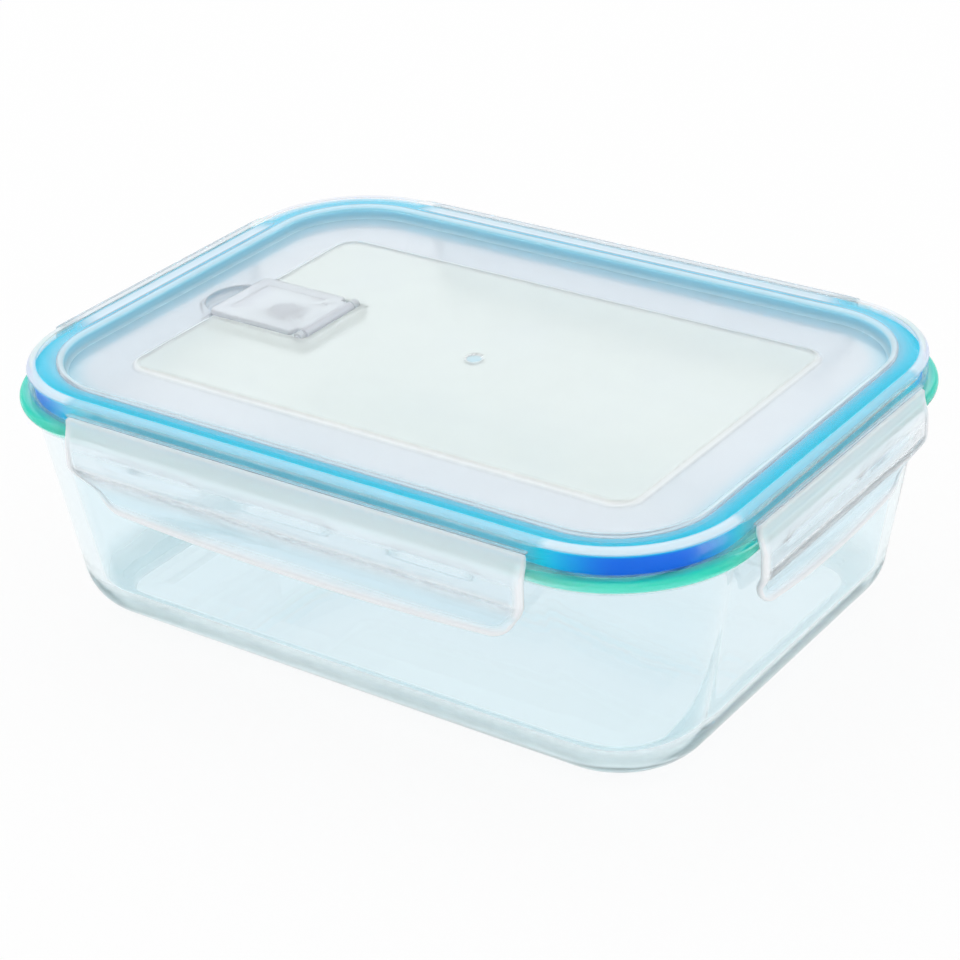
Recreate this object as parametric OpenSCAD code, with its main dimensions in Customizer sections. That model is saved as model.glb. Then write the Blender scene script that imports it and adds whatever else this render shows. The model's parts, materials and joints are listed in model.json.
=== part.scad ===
// Pressed glass food storage dish with a clear lid: a seal ring sits in a channel under the lid's edge,
// four locking flaps on film hinges hook under the glass rim, and a hinged vent flap lets steam out.
// Millimetres. The dish stands on z = 0, centred, with its long side along X.

/* [Dish] */
// Length of the glass rim along X
rim_l = 206; // [160:1:260]
// Width of the glass rim along Y
rim_w = 153; // [120:1:200]
// Corner radius of the rim's outer edge
rim_r = 35.5; // [32:0.5:42]
// Height of the rim's top above the table
dish_h = 62; // [50:1:90]
// Thickness of the rim flange, whose edge is fully round
rim_t = 3; // [2.4:0.1:4]
// How far the flange stands out of the wall below it
rim_overhang = 3.2; // [2.6:0.1:4]
// Radius of the hollow corner under the flange
under_r = 0.9; // [0.5:0.1:1.2]
// Thickness of the glass wall
wall_t = 4.2; // [3.4:0.1:5]
// Lean of the wall away from upright, in degrees
wall_draft = 9.5; // [4:0.5:11]
// Thickness of the glass floor
floor_t = 5; // [3.5:0.1:7]
// Radius of the round outer edge at the bottom
bottom_r = 14; // [9:0.5:16]
// Radius of the round inner edge at the bottom
inner_bottom_r = 10; // [6:0.5:12]
// Radius of the rounded inner edge of the mouth
mouth_r = 1.2; // [0.6:0.1:1.5]
// Width of the ring that the dish stands on
foot_w = 7; // [4:0.5:9]
// Depth of the hollow inside the foot ring
foot_recess = 0.8; // [0.4:0.1:1.5]

/* [Lid] */
// Height of the lid's top above the glass rim
lid_h = 7; // [6:0.5:10]
// How far the lid's outer edge stays inside the rim's edge
lid_inset = 2.5; // [1.8:0.1:3]
// Thickness of the lid's top over the seal channel
lid_t = 1.6; // [1.2:0.1:2]
// Thickness of the lid's outer skirt
skirt_t = 1.4; // [1:0.1:1.8]
// Gap between the skirt and the glass rim
skirt_gap = 0.6; // [0.4:0.1:1]
// Width of the seal channel
channel_w = 6.4; // [5:0.1:7]
// Thickness of the channel's inner wall
inner_wall_t = 1.6; // [1.2:0.1:2]
// How far the inner wall reaches into the glass mouth
plug_depth = 1; // [0.5:0.1:2]
// Radius of the lid's rounded outer top edge
lid_edge_r = 1.4; // [0.6:0.1:1.5]
// Radius of the channel's rounded inner top edge
lid_inner_r = 0.7; // [0.3:0.1:0.8]
// Depth of the lid's panel below its top
panel_drop = 3.4; // [2.5:0.1:3.8]
// Thickness of the panel
panel_t = 1.8; // [1.4:0.1:2.2]
// Distance from the panel's ends to the raised field
field_end_gap = 16.1; // [12:0.1:20]
// Distance from the panel's long sides to the raised field
field_side_gap = 17.1; // [12:0.1:20]
// Corner radius of the raised field
field_r = 7; // [5:0.5:10]
// Height of the raised field above the panel
field_rise = 0.8; // [0.4:0.1:1]
// Width of the slope round the raised field
field_slope = 2; // [1:0.1:3]
// Diameter of the moulding dimple at the panel's centre
dimple_d = 4.6; // [3:0.1:6]
// Depth of the moulding dimple
dimple_depth = 0.4; // [0.2:0.1:0.6]

/* [Seal ring] */
// Gap between the seal ring and each side of its channel
seal_gap = 0.1; // [0.05:0.01:0.2]
// Width of the seal's inner lip, which hangs into the glass mouth
seal_lip_w = 2; // [1.4:0.1:2.4]
// How far the lip hangs below the rim's top
seal_lip_drop = 1.4; // [0.6:0.1:2]
// Radius of the seal's outer edges
seal_edge_r = 0.8; // [0.4:0.1:1]

/* [Locking flaps] */
// How much shorter each flap is than the straight run of its side
flap_short = 2; // [1:0.5:6]
// Thickness of a flap
flap_t = 1.6; // [1.2:0.1:1.8]
// Gap between the glass rim and the inside of a flap
flap_gap = 0.6; // [0.4:0.1:1]
// Height of a flap's lower edge above the table
flap_z = 40; // [36:0.5:44]
// Radius of a flap's lower corners
flap_corner_r = 9; // [5:0.5:12]
// Rise of a flap's lower edge from its middle to its corners
flap_bow = 1.6; // [0.5:0.1:2.5]
// Distance from the finger lip's outside in to the widest part of the flap
lip_step = 4; // [2.5:0.1:4.4]
// How far the finger lip's edge flares out
lip_flare = 0.6; // [0:0.1:1]
// Drop from the rim's underside to the start of the step
step_drop = 6.5; // [5:0.1:8]
// Height of the step
step_h = 6; // [4:0.1:7]
// How far the catch rib reaches in from the flap
catch_d = 2.5; // [1.5:0.1:2.6]
// Gap between the catch rib and the rim's underside
catch_gap = 0.4; // [0.3:0.1:0.6]
// Height of the catch rib
catch_h = 2.6; // [2:0.1:3]
// Number of separate stretches of catch rib on a long flap
catch_count_long = 3; // [1:1:4]
// Number of separate stretches of catch rib on a short flap
catch_count_short = 2; // [1:1:3]
// Gap between stretches of catch rib
catch_space = 8; // [4:0.5:12]
// Distance from a flap's end to its stiffening rib
rib_inset = 7.5; // [5:0.5:10]
// Width of a stiffening rib
rib_w = 1.4; // [1:0.1:2]
// Depth of a stiffening rib
rib_d = 0.9; // [0.5:0.1:1.2]

/* [Film hinges] */
// How far the hinge ledge stands out of the lid's skirt
ledge_d = 1.6; // [1.4:0.1:2]
// Height of the hinge ledge
ledge_h = 3.2; // [2.8:0.1:4]
// Drop from the lid's top to the ledge's top
ledge_drop = 0.8; // [0.5:0.1:1]
// How much further than the flap the ledge runs at each end
ledge_over = 2; // [1:0.1:3]
// Radius of the ledge's outer corners
ledge_corner_r = 1.2; // [0.6:0.1:1.4]
// Gap between the bead and the ledge
bead_gap = 0.2; // [0.15:0.05:0.4]
// Thickness of the hinge film
film_t = 0.35; // [0.25:0.05:0.5]
// Gap between the film and the bead under it
film_gap = 0.05; // [0.02:0.01:0.1]

/* [Vent] */
// Distance from the panel's end to the vent hole
vent_end_gap = 31.1; // [28:0.1:36]
// Length of the vent well along X
well_l = 32; // [30:0.5:36]
// Width of the vent well along Y
well_w = 25; // [22:0.5:30]
// Depth of the vent well below the raised field
well_depth = 3.8; // [3.6:0.1:4.4]
// Thickness of the well's walls and floor
well_t = 1.4; // [1.1:0.1:1.8]
// Radius of the finger scoop at the well's outer end
scoop_r = 9.7; // [8:0.1:11]
// How far the scoop's centre lies inside the well's outer end
scoop_in = 2; // [0:0.1:4]
// Radius of the vent hole
vent_hole_r = 2.4; // [1.8:0.1:3]
// Gap round the vent flap in its well
vent_gap = 0.5; // [0.3:0.1:0.8]
// Thickness of the vent flap
vent_t = 1.6; // [1.3:0.1:2]
// How far the vent flap stands above the raised field
vent_proud = 1; // [0.6:0.1:1.2]
// Corner radius of the vent flap
vent_corner_r = 2; // [1:0.1:4]
// Radius of the vent hinge's barrel
barrel_r = 1.5; // [1.2:0.1:1.7]
// Radius of the vent hinge's pins
pin_r = 0.8; // [0.6:0.05:1]
// Running gap round the vent hinge's pins
pin_gap = 0.05; // [0.02:0.01:0.1]
// Depth of the bore for each vent hinge pin
pin_l = 2.6; // [2:0.1:2.8]
// Gap past each pin's end
pin_end_gap = 0.2; // [0.1:0.05:0.4]
// Thickness of the hinge cheeks that hold the pins
cheek_w = 3; // [2.6:0.1:3.4]
// Radius of the vent seal's head
vent_seal_r = 4.2; // [3.6:0.1:5]
// Thickness of the vent seal's head
vent_seal_t = 1.4; // [1:0.1:1.6]
// Radius of the vent seal's stem in the flap's boss
stem_r = 1.8; // [1.4:0.1:2.2]
// Wall of the boss round the stem
boss_t = 1.4; // [1:0.1:1.6]
// Gap between the stem and its boss
stem_gap = 0.05; // [0.02:0.01:0.1]
// Length of the seal's nipple in the vent hole
nipple_l = 1; // [0.5:0.1:1.2]
// Gap round the nipple in the vent hole
nipple_gap = 0.4; // [0.35:0.05:0.6]

/* [Hidden] */
$fn = 64;

// Overlap that carries a cut clear through a face
cut = 1;
// Points along a flap's curved face
flap_steps = 28;

// Centres of the corner arcs, which the dish and the lid share
corner_x = rim_l / 2 - rim_r;
corner_y = rim_w / 2 - rim_r;

// Glass dish, as distances outside the corner centres
lean = tan(wall_draft);
rim_z = dish_h - rim_t;
wall_out = wall_t / cos(wall_draft);
foot_r = wall_r(bottom_r) - bottom_r / cos(wall_draft);
inner_z = floor_t + inner_bottom_r;
inner_r = wall_r(inner_z) - wall_out - inner_bottom_r / cos(wall_draft);
mouth_z = dish_h - mouth_r;
mouth_x = wall_r(mouth_z) - wall_out + mouth_r / cos(wall_draft);
under_z = rim_z - under_r;
under_x = wall_r(under_z) + under_r / cos(wall_draft);

// Lid, as distances outside the corner centres
lid_top = dish_h + lid_h;
lid_r = rim_r - lid_inset;
skirt_z = dish_h + skirt_gap;
channel_out = lid_r - skirt_t;
channel_in = channel_out - channel_w;
channel_z = lid_top - lid_t;
panel_r = channel_in - inner_wall_t;
panel_z = lid_top - panel_drop;
panel_under = panel_z - panel_t;
field_z = panel_z + field_rise;
field_x = corner_x + panel_r - field_end_gap - field_r;
field_y = corner_y + panel_r - field_side_gap - field_r;

// Flap and hinge, as distances outside the corner centres
ledge_r = lid_r + ledge_d;
ledge_top = lid_top - ledge_drop;
bead_r = flap_t / 2;
hinge_r = ledge_r + bead_gap + bead_r;
hinge_z = ledge_top - ledge_h / 2 - bead_r;
flap_in = rim_r + flap_gap;
flap_out = flap_in + flap_t;
lip_r = flap_out - lip_step;
step_top = rim_z - step_drop;
step_low = step_top - step_h;
crown_z = dish_h - mouth_r;
catch_z = rim_z - catch_gap;
flap_long = 2 * corner_x - flap_short;
flap_wide = 2 * corner_y - flap_short;

// Vent, with the hinge at the end nearer the lid's centre
vent_x = corner_x + panel_r - vent_end_gap;
vent_top = field_z + vent_proud;
vent_axis_z = vent_top - barrel_r;
well_floor = field_z - well_depth;
well_x0 = -vent_x - well_l / 2;
well_x1 = well_x0 + well_l;
vent_axis_x = well_x1 - vent_gap - barrel_r;
vent_w = well_w - 2 * vent_gap;
cheek_y = well_w / 2 + well_t - cheek_w - vent_gap;
cheek_x0 = vent_axis_x - barrel_r - vent_gap;
barrel_half = cheek_y - vent_gap;
plate_x1 = cheek_x0 - vent_gap;
vent_under = vent_top - vent_t;
boss_z = well_floor + vent_seal_t;

// Distance of the wall's outer face outside the corner centres at height z
function wall_r(z) = rim_r - rim_overhang - (rim_z - z) * lean;

// Smooth rise from 0 to 1 as t goes from 0 to 1
function ease(t) = let (s = min(1, max(0, t))) s * s * (3 - 2 * s);

// A flap's outer face: the finger lip, the step out to the widest part, and the turn in to the hinge
function flap_r(z) =
    lip_r + (flap_out - lip_r) * ease((z - step_low) / step_h)
    - (flap_out - hinge_r - bead_r) * ease((z - crown_z) / (hinge_z - crown_z))
    + lip_flare * (1 - ease((z - flap_z) / (step_low - flap_z)));

// Height of point i along a flap's face
function flap_at(i) = flap_z + (hinge_z - flap_z) * i / flap_steps;

// Point of a flap's face, set in by depth square to the face
function flap_point(i, depth) =
    let (z = flap_at(i), d = 0.05, slope = (flap_r(z + d) - flap_r(z - d)) / (2 * d))
    [flap_r(z) - depth / sqrt(1 + slope * slope), z + depth * slope / sqrt(1 + slope * slope)];

// Carries a half profile, drawn as distance out and height, round a rectangle with round corners
module around(half_x, half_y) {
    for (c = [[1, 1, 0], [-1, 1, 90], [-1, -1, 180], [1, -1, 270]])
        translate([c[0] * half_x, c[1] * half_y, 0])
            rotate([0, 0, c[2]])
                rotate_extrude(angle = 90)
                    children();
    for (a = [0, 90, 180, 270])
        rotate([0, 0, a])
            translate([a % 180 == 0 ? half_x : half_y, 0, 0])
                run(a % 180 == 0 ? 2 * half_y : 2 * half_x)
                    children();
}

// Carries a profile, drawn as distance out and height, straight along Y for a length
module run(length) {
    rotate([90, 0, 0])
        linear_extrude(length, center = true)
            children();
}

// Rectangle with round corners of radius r about the given corner centres
module rounded(half_x, half_y, r) {
    square([2 * half_x + 2 * r, 2 * half_y], center = true);
    square([2 * half_x, 2 * half_y + 2 * r], center = true);
    for (x = [-half_x, half_x], y = [-half_y, half_y])
        translate([x, y])
            circle(r);
}

// Plate with that outline between two heights
module plate(half_x, half_y, r, low, high) {
    translate([0, 0, low])
        linear_extrude(high - low)
            rounded(half_x, half_y, r);
}

// Upright rectangle between two corners
module box2(low, high) {
    translate(low)
        square([high[0] - low[0], high[1] - low[1]]);
}

// Stands children on one side of the lid: 0 right, 90 back, 180 left, 270 front
module on_side(a) {
    rotate([0, 0, a])
        translate([a % 180 == 0 ? corner_x : corner_y, 0, 0])
            children();
}

// Length of the flap on that side
function flap_length(a) = a % 180 == 0 ? flap_wide : flap_long;

// Section of the glass: floor, leaning wall with round edges inside and out, and rim flange
module dish_section() {
    difference() {
        union() {
            polygon([
                [0, 0],
                [foot_r, 0],
                [foot_r + bottom_r * cos(wall_draft), bottom_r - bottom_r * sin(wall_draft)],
                [wall_r(dish_h - rim_t / 2), dish_h - rim_t / 2],
                [0, dish_h - rim_t / 2]
            ]);
            intersection() {
                translate([foot_r, bottom_r])
                    circle(bottom_r);
                box2([foot_r, 0], [foot_r + bottom_r, bottom_r]);
            }
            box2([0, rim_z], [rim_r - rim_t / 2, dish_h]);
            translate([rim_r - rim_t / 2, dish_h - rim_t / 2])
                circle(rim_t / 2);
            difference() {
                polygon([
                    [foot_r, under_z + under_r * sin(wall_draft)],
                    [under_x - under_r * cos(wall_draft), under_z + under_r * sin(wall_draft)],
                    [under_x, under_z],
                    [under_x, rim_z + rim_t / 2],
                    [foot_r, rim_z + rim_t / 2]
                ]);
                translate([under_x, under_z])
                    circle(under_r);
            }
        }
        polygon([
            [-cut, floor_t],
            [inner_r, floor_t],
            [inner_r + inner_bottom_r * cos(wall_draft), inner_z - inner_bottom_r * sin(wall_draft)],
            [mouth_x - mouth_r * cos(wall_draft), mouth_z + mouth_r * sin(wall_draft)],
            [mouth_x, dish_h],
            [mouth_x, dish_h + cut],
            [-cut, dish_h + cut]
        ]);
        translate([inner_r, inner_z])
            circle(inner_bottom_r);
    }
    translate([mouth_x, mouth_z])
        circle(mouth_r);
}

// Section of the lid's edge: top, outer skirt, and the channel's inner wall, open below for the seal
module lid_section() {
    difference() {
        union() {
            box2([panel_r, dish_h - plug_depth], [channel_in, lid_top - lid_inner_r]);
            box2([panel_r + lid_inner_r, channel_z], [lid_r - lid_edge_r, lid_top]);
            box2([channel_in, skirt_z], [lid_r, lid_top - lid_edge_r]);
            translate([panel_r + lid_inner_r, lid_top - lid_inner_r])
                circle(lid_inner_r);
            translate([lid_r - lid_edge_r, lid_top - lid_edge_r])
                circle(lid_edge_r);
        }
        box2([channel_in, 0], [channel_out, channel_z]);
    }
}

// Section of the seal ring: a flat pad on the rim, round at its outer edges, and a lip that hangs into the mouth
module seal_section() {
    inner = channel_in + seal_gap;
    outer = channel_out - seal_gap;
    box2([inner, dish_h], [outer - seal_edge_r, channel_z]);
    box2([inner, dish_h + seal_edge_r], [outer, channel_z - seal_edge_r]);
    for (z = [dish_h + seal_edge_r, channel_z - seal_edge_r])
        translate([outer - seal_edge_r, z])
            circle(seal_edge_r);
    box2([inner, dish_h - seal_lip_drop + seal_lip_w / 2], [inner + seal_lip_w, dish_h + cut]);
    translate([inner + seal_lip_w / 2, dish_h - seal_lip_drop + seal_lip_w / 2])
        circle(seal_lip_w / 2);
}

// Section of the slope round the raised field
module field_section() {
    polygon([
        [0, panel_under + panel_t / 2],
        [field_r, panel_under + panel_t / 2],
        [field_r, panel_z],
        [field_r - field_slope, field_z],
        [0, field_z]
    ]);
}

// Outline of the vent well, grown by a margin: a box with a round finger scoop at its outer end
module well_outline(margin) {
    box2([well_x0 - margin, -well_w / 2 - margin], [well_x1 + margin, well_w / 2 + margin]);
    translate([well_x0 + scoop_in, 0])
        circle(scoop_r + margin);
}

// Pressed glass dish
module glass_dish() {
    color("azure", 0.5)
        difference() {
            union() {
                around(corner_x, corner_y)
                    dish_section();
                translate([-corner_x, -corner_y, 0])
                    cube([2 * corner_x, 2 * corner_y, floor_t]);
            }
            plate(corner_x, corner_y, foot_r - foot_w, -cut, foot_recess);
        }
}

// Ledge on the skirt that carries one film hinge
module hinge_ledge(length) {
    half = length / 2 + ledge_over;
    translate([0, 0, ledge_top - ledge_h])
        linear_extrude(ledge_h) {
            box2([channel_out + skirt_t / 2, -half], [ledge_r - ledge_corner_r, half]);
            box2([channel_out + skirt_t / 2, -half + ledge_corner_r], [ledge_r, half - ledge_corner_r]);
            for (y = [-half + ledge_corner_r, half - ledge_corner_r])
                translate([ledge_r - ledge_corner_r, y])
                    circle(ledge_corner_r);
        }
}

// Cheeks that hold the vent hinge's pins
module vent_cheeks() {
    for (s = [-1, 1]) {
        translate([cheek_x0, s > 0 ? cheek_y : -cheek_y - cheek_w, well_floor - well_t / 2])
            cube([well_x1 + well_t - cheek_x0, cheek_w, vent_axis_z - well_floor + well_t / 2]);
        translate([vent_axis_x, s * (cheek_y + cheek_w / 2), vent_axis_z])
            rod(barrel_r, cheek_w);
    }
}

// Rod along Y, centred
module rod(r, length) {
    rotate([90, 0, 0])
        cylinder(r = r, h = length, center = true);
}

// Clear lid: edge with seal channel, sunk panel with a raised field, hinge ledges and vent well
module lid_shell() {
    color("lavender", 0.5)
        difference() {
            union() {
                around(corner_x, corner_y)
                    lid_section();
                difference() {
                    union() {
                        plate(corner_x, corner_y, panel_r + inner_wall_t / 2, panel_under, panel_z);
                        around(field_x, field_y)
                            field_section();
                        plate(field_x, field_y, field_r - field_slope, panel_under + panel_t / 2, field_z);
                    }
                    plate(field_x, field_y, field_r - field_slope, panel_under - cut, panel_under + field_rise);
                }
                for (a = [0, 90, 180, 270])
                    on_side(a)
                        hinge_ledge(flap_length(a));
                translate([0, 0, well_floor - well_t])
                    linear_extrude(panel_z - well_floor)
                        well_outline(well_t);
                vent_cheeks();
            }
            difference() {
                translate([0, 0, well_floor])
                    linear_extrude(well_depth + cut)
                        well_outline(0);
                vent_cheeks();
            }
            translate([vent_axis_x, 0, vent_axis_z])
                rod(pin_r + pin_gap, 2 * (cheek_y + pin_l));
            translate([-vent_x, 0, well_floor - well_t - cut])
                cylinder(r = vent_hole_r, h = well_t + 2 * cut);
            translate([0, 0, field_z - dimple_depth])
                cylinder(d = dimple_d, h = dimple_depth + cut);
        }
}

// Silicone seal ring
module seal_ring() {
    color("deepskyblue")
        around(corner_x, corner_y)
            seal_section();
}

// Front outline of a flap, drawn as distance along the side and height
module flap_outline(length) {
    half = length / 2;
    flat = half - flap_corner_r;
    bow_r = (flat * flat + flap_bow * flap_bow) / (2 * flap_bow);
    corner_z = flap_z + flap_bow + flap_corner_r;
    box2([-half, corner_z], [half, hinge_z]);
    box2([-flat, flap_z + flap_bow], [flat, corner_z]);
    for (x = [-flat, flat])
        translate([x, corner_z])
            circle(flap_corner_r);
    intersection() {
        translate([0, flap_z + bow_r])
            circle(bow_r, $fn = 360);
        box2([-flat, flap_z - cut], [flat, corner_z]);
    }
}

// One locking flap with its hinge bead, catch rib and stiffening ribs
module locking_flap(length, catches) {
    reach = length - 2 * (rib_inset + rib_w);
    stretch = (reach - (catches - 1) * catch_space) / catches;
    translate([hinge_r, 0, hinge_z])
        rod(bead_r, length);
    for (i = [0:catches - 1])
        translate([0, -reach / 2 + stretch / 2 + i * (stretch + catch_space), 0])
            run(stretch)
                polygon([
                    [flap_in + flap_t / 2, catch_z],
                    [flap_in - catch_d, catch_z],
                    [flap_in - catch_d, catch_z - catch_h / 3],
                    [flap_in + flap_t / 2, catch_z - catch_h]
                ]);
    intersection() {
        union() {
            run(length)
                flap_strip(flap_steps, 0, flap_t);
            for (s = [-1, 1])
                translate([0, s * (length / 2 - rib_inset - rib_w / 2), 0])
                    run(rib_w)
                        flap_strip(flap_steps / 2, flap_t / 2, flap_t + rib_d);
        }
        rotate([90, 0, 90])
            linear_extrude(2 * rim_r)
                flap_outline(length);
    }
}

// Strip that follows a flap's face from its lower edge up, between two depths behind the face
module flap_strip(steps, front, back) {
    polygon([
        for (i = [0:steps]) flap_point(i, front),
        for (i = [steps:-1:0]) flap_point(i, back)
    ]);
}

// Locking flap on one side of the lid
module side_flap(a) {
    color("aliceblue", 0.5)
        on_side(a)
            locking_flap(flap_length(a), a % 180 == 0 ? catch_count_short : catch_count_long);
}

// Film of a hinge on one side of the lid, from the ledge out over the flap's bead
module side_film(a) {
    low = hinge_z + bead_r + film_gap;
    color("white", 0.5)
        on_side(a)
            run(flap_length(a))
                box2([ledge_r, low], [hinge_r, low + film_t]);
}

module flap_right() { side_flap(0); }
module flap_back() { side_flap(90); }
module flap_left() { side_flap(180); }
module flap_front() { side_flap(270); }
module film_right() { side_film(0); }
module film_back() { side_film(90); }
module film_left() { side_film(180); }
module film_front() { side_film(270); }

// Outline of the vent flap: a plate with round outer corners and a tongue between the cheeks
module vent_outline() {
    x0 = well_x0 + vent_gap;
    half = vent_w / 2;
    box2([x0 + vent_corner_r, -half], [plate_x1, half]);
    box2([x0, -half + vent_corner_r], [plate_x1, half - vent_corner_r]);
    for (y = [-half + vent_corner_r, half - vent_corner_r])
        translate([x0 + vent_corner_r, y])
            circle(vent_corner_r);
    box2([plate_x1 - cut, -barrel_half], [vent_axis_x, barrel_half]);
}

// Hinged vent flap with the boss that holds its seal
module vent_flap() {
    color("lavender", 0.5)
        difference() {
            union() {
                translate([0, 0, vent_under])
                    linear_extrude(vent_t)
                        vent_outline();
                translate([vent_axis_x, 0, vent_axis_z]) {
                    rod(barrel_r, 2 * barrel_half);
                    rod(pin_r, 2 * (cheek_y + pin_l - pin_end_gap));
                }
                translate([-vent_x, 0, boss_z])
                    cylinder(r = stem_r + stem_gap + boss_t, h = vent_under - boss_z + vent_t / 2);
            }
            translate([-vent_x, 0, boss_z - cut])
                cylinder(r = stem_r + stem_gap, h = vent_under - boss_z + cut);
        }
}

// Silicone plug under the vent flap: head on the well's floor, stem in the boss, nipple in the hole
module vent_seal() {
    color("whitesmoke")
        translate([-vent_x, 0, 0]) {
            translate([0, 0, well_floor])
                cylinder(r = vent_seal_r, h = vent_seal_t);
            translate([0, 0, boss_z - vent_seal_t / 2])
                cylinder(r = stem_r, h = vent_under - boss_z + vent_seal_t / 2 - stem_gap);
            translate([0, 0, well_floor - nipple_l])
                cylinder(r = vent_hole_r - nipple_gap, h = nipple_l + vent_seal_t / 2);
        }
}

glass_dish();
lid_shell();
seal_ring();
flap_front();
flap_back();
flap_left();
flap_right();
film_front();
film_back();
film_left();
film_right();
vent_flap();
vent_seal();
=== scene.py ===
"""Looks of a glass storage container: pressed glass dish, clear sealed lid, locking flaps and steam vent."""

import json
import math

import bmesh
import bpy
import numpy as np
from bpy.props import FloatProperty, FloatVectorProperty, PointerProperty
from mathutils import Matrix, Vector

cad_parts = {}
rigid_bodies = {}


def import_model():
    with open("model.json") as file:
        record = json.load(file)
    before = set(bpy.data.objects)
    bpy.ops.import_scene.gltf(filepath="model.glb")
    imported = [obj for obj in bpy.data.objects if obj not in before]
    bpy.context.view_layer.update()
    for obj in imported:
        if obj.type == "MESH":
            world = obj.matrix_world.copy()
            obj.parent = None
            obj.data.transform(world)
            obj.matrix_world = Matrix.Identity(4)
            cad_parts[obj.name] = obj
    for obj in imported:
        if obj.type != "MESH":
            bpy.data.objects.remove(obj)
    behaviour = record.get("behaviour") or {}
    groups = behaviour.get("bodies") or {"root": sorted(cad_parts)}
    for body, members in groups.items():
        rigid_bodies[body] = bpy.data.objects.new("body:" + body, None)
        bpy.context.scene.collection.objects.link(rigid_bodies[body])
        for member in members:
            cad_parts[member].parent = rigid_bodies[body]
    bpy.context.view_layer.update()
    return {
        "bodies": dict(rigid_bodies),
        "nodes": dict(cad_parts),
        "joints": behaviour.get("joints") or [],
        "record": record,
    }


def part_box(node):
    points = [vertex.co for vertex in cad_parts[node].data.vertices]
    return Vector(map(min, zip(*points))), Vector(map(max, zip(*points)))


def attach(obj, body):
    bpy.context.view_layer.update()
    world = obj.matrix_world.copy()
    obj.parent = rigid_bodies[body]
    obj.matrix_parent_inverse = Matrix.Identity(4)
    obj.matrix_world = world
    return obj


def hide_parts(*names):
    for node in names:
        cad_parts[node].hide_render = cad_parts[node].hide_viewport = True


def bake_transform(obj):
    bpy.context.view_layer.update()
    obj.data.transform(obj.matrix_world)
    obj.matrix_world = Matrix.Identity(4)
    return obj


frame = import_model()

bl_info = {
    "name": "Glass Storage Container",
    "version": (1, 0, 0),
    "blender": (4, 5, 0),
    "location": "View3D > Sidebar > Container",
    "description": "Builds a pressed glass dish with a sealed, locking lid around its packed model",
    "category": "Object",
}

MM = 0.001
GLASS_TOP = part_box("glass_dish")[1]
LID_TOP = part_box("lid_shell")[1]
FLAP_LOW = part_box("flap_front")[0]
# Each side of the lid, with the way it faces in degrees from +X
SIDES = {"right": 0, "back": 90, "left": 180, "front": 270}
# Points closer than these are taken as one: in a section or outline, and in a finished mesh
MERGE = 1e-7
WELD = 2e-6
# A corner's look runs on along its sides, and is full at this many degrees into the corner
CORNER_RUN = 12 * MM
CORNER_TURN = 32.5
# Indices of refraction. The thin one bends light less, so that what lies behind the flaps stays in place
GLASS_IOR = 1.5
PLASTIC_IOR = 1.4
THIN_IOR = 1.22
SILICONE_IOR = 1.41
# Roughness of the clear plastic: the lid is hazier than its flaps
LID_ROUGHNESS = 0.16
FLAP_ROUGHNESS = 0.08
# How milky the clear plastic looks, from 0 to 1: the lid, its vent, and then the flaps
PANEL_VEIL = 0.32
SLOPE_VEIL = 0.8
WALL_VEIL = 0.5
INNER_EDGE_VEIL = 0.75
STRIP_VEIL = 0.33
EDGE_VEIL = 0.7
LEDGE_VEIL = 0.3
# Painted reflection: a milky band over the seal along the back and left sides
FAR_PAINTED_SHEEN = 0.6
VENT_VEIL = 0.42
SHEET_VEIL = 0.14
STEP_VEIL = 0.17
LIP_VEIL = 0.3
HINGE_VEIL = 0.6
# Partly the edges' own milkiness, partly a painted highlight along the flaps' sides and lower edge
RIM_VEIL_AND_HIGHLIGHT = 0.9
# Tone of the plastic: 1 is the raised field's shade, 0 the plain one, and below 0 the seal's blue, painted in
# as shine
VENT_TONE = 0.0
CHEEK_TONE = 0.5
STEP_PAINTED_SHINE = -0.25
HINGE_PAINTED_SHINE = -0.14
DIMPLE_PAINTED_SHINE = -1.4
# Share of the rim's painted green glow that is left along the straight sides
STRAIGHT_GLOW = 0.2


def length(name, description, default):
    """A size in metres."""
    return FloatProperty(name=name, description=description, default=default, precision=5, unit="LENGTH")


def angle(name, description, degrees):
    """An angle, given in degrees."""
    return FloatProperty(name=name, description=description, default=math.radians(degrees), subtype="ANGLE")


def share(name, description, default):
    """A number from 0 to 1."""
    return FloatProperty(name=name, description=description, default=default, min=0, max=1, subtype="FACTOR")


def place(name, description, default):
    """A point in space."""
    return FloatVectorProperty(name=name, description=description, default=default, subtype="TRANSLATION")


def colour(name, description, default):
    """A linear colour."""
    return FloatVectorProperty(
        name=name, description=description, default=default, size=3, min=0, max=1, subtype="COLOR"
    )


class DishSizes(bpy.types.PropertyGroup):
    """Sizes of the pressed glass dish."""

    rim_r: length("Rim corner", "Corner radius of the rim's outer edge", 35.5 * MM)
    height: length("Height", "Height of the rim's top", GLASS_TOP.z)
    rim_t: length("Rim thickness", "Thickness of the rim flange, whose edge is round", 3 * MM)
    overhang: length("Overhang", "How far the flange stands out of the wall", 3.2 * MM)
    under_r: length("Fillet under rim", "Radius of the hollow corner under the flange", 0.9 * MM)
    wall_t: length("Wall", "Thickness of the wall", 4.2 * MM)
    draft: angle("Draft", "Lean of the wall away from upright", 9.5)
    floor_t: length("Floor", "Thickness of the floor", 5 * MM)
    bottom_r: length("Outer bottom edge", "Radius of the round outer edge at the bottom", 14 * MM)
    inner_r: length("Inner bottom edge", "Radius of the round inner edge at the bottom", 10 * MM)
    mouth_r: length("Mouth edge", "Radius of the mouth's inner edge", 1.2 * MM)
    foot_w: length("Foot ring", "Width of the slope from the hollow to the standing edge", 10 * MM)
    recess: length("Foot hollow", "Depth of the hollow inside the foot ring", 0.8 * MM)


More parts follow.
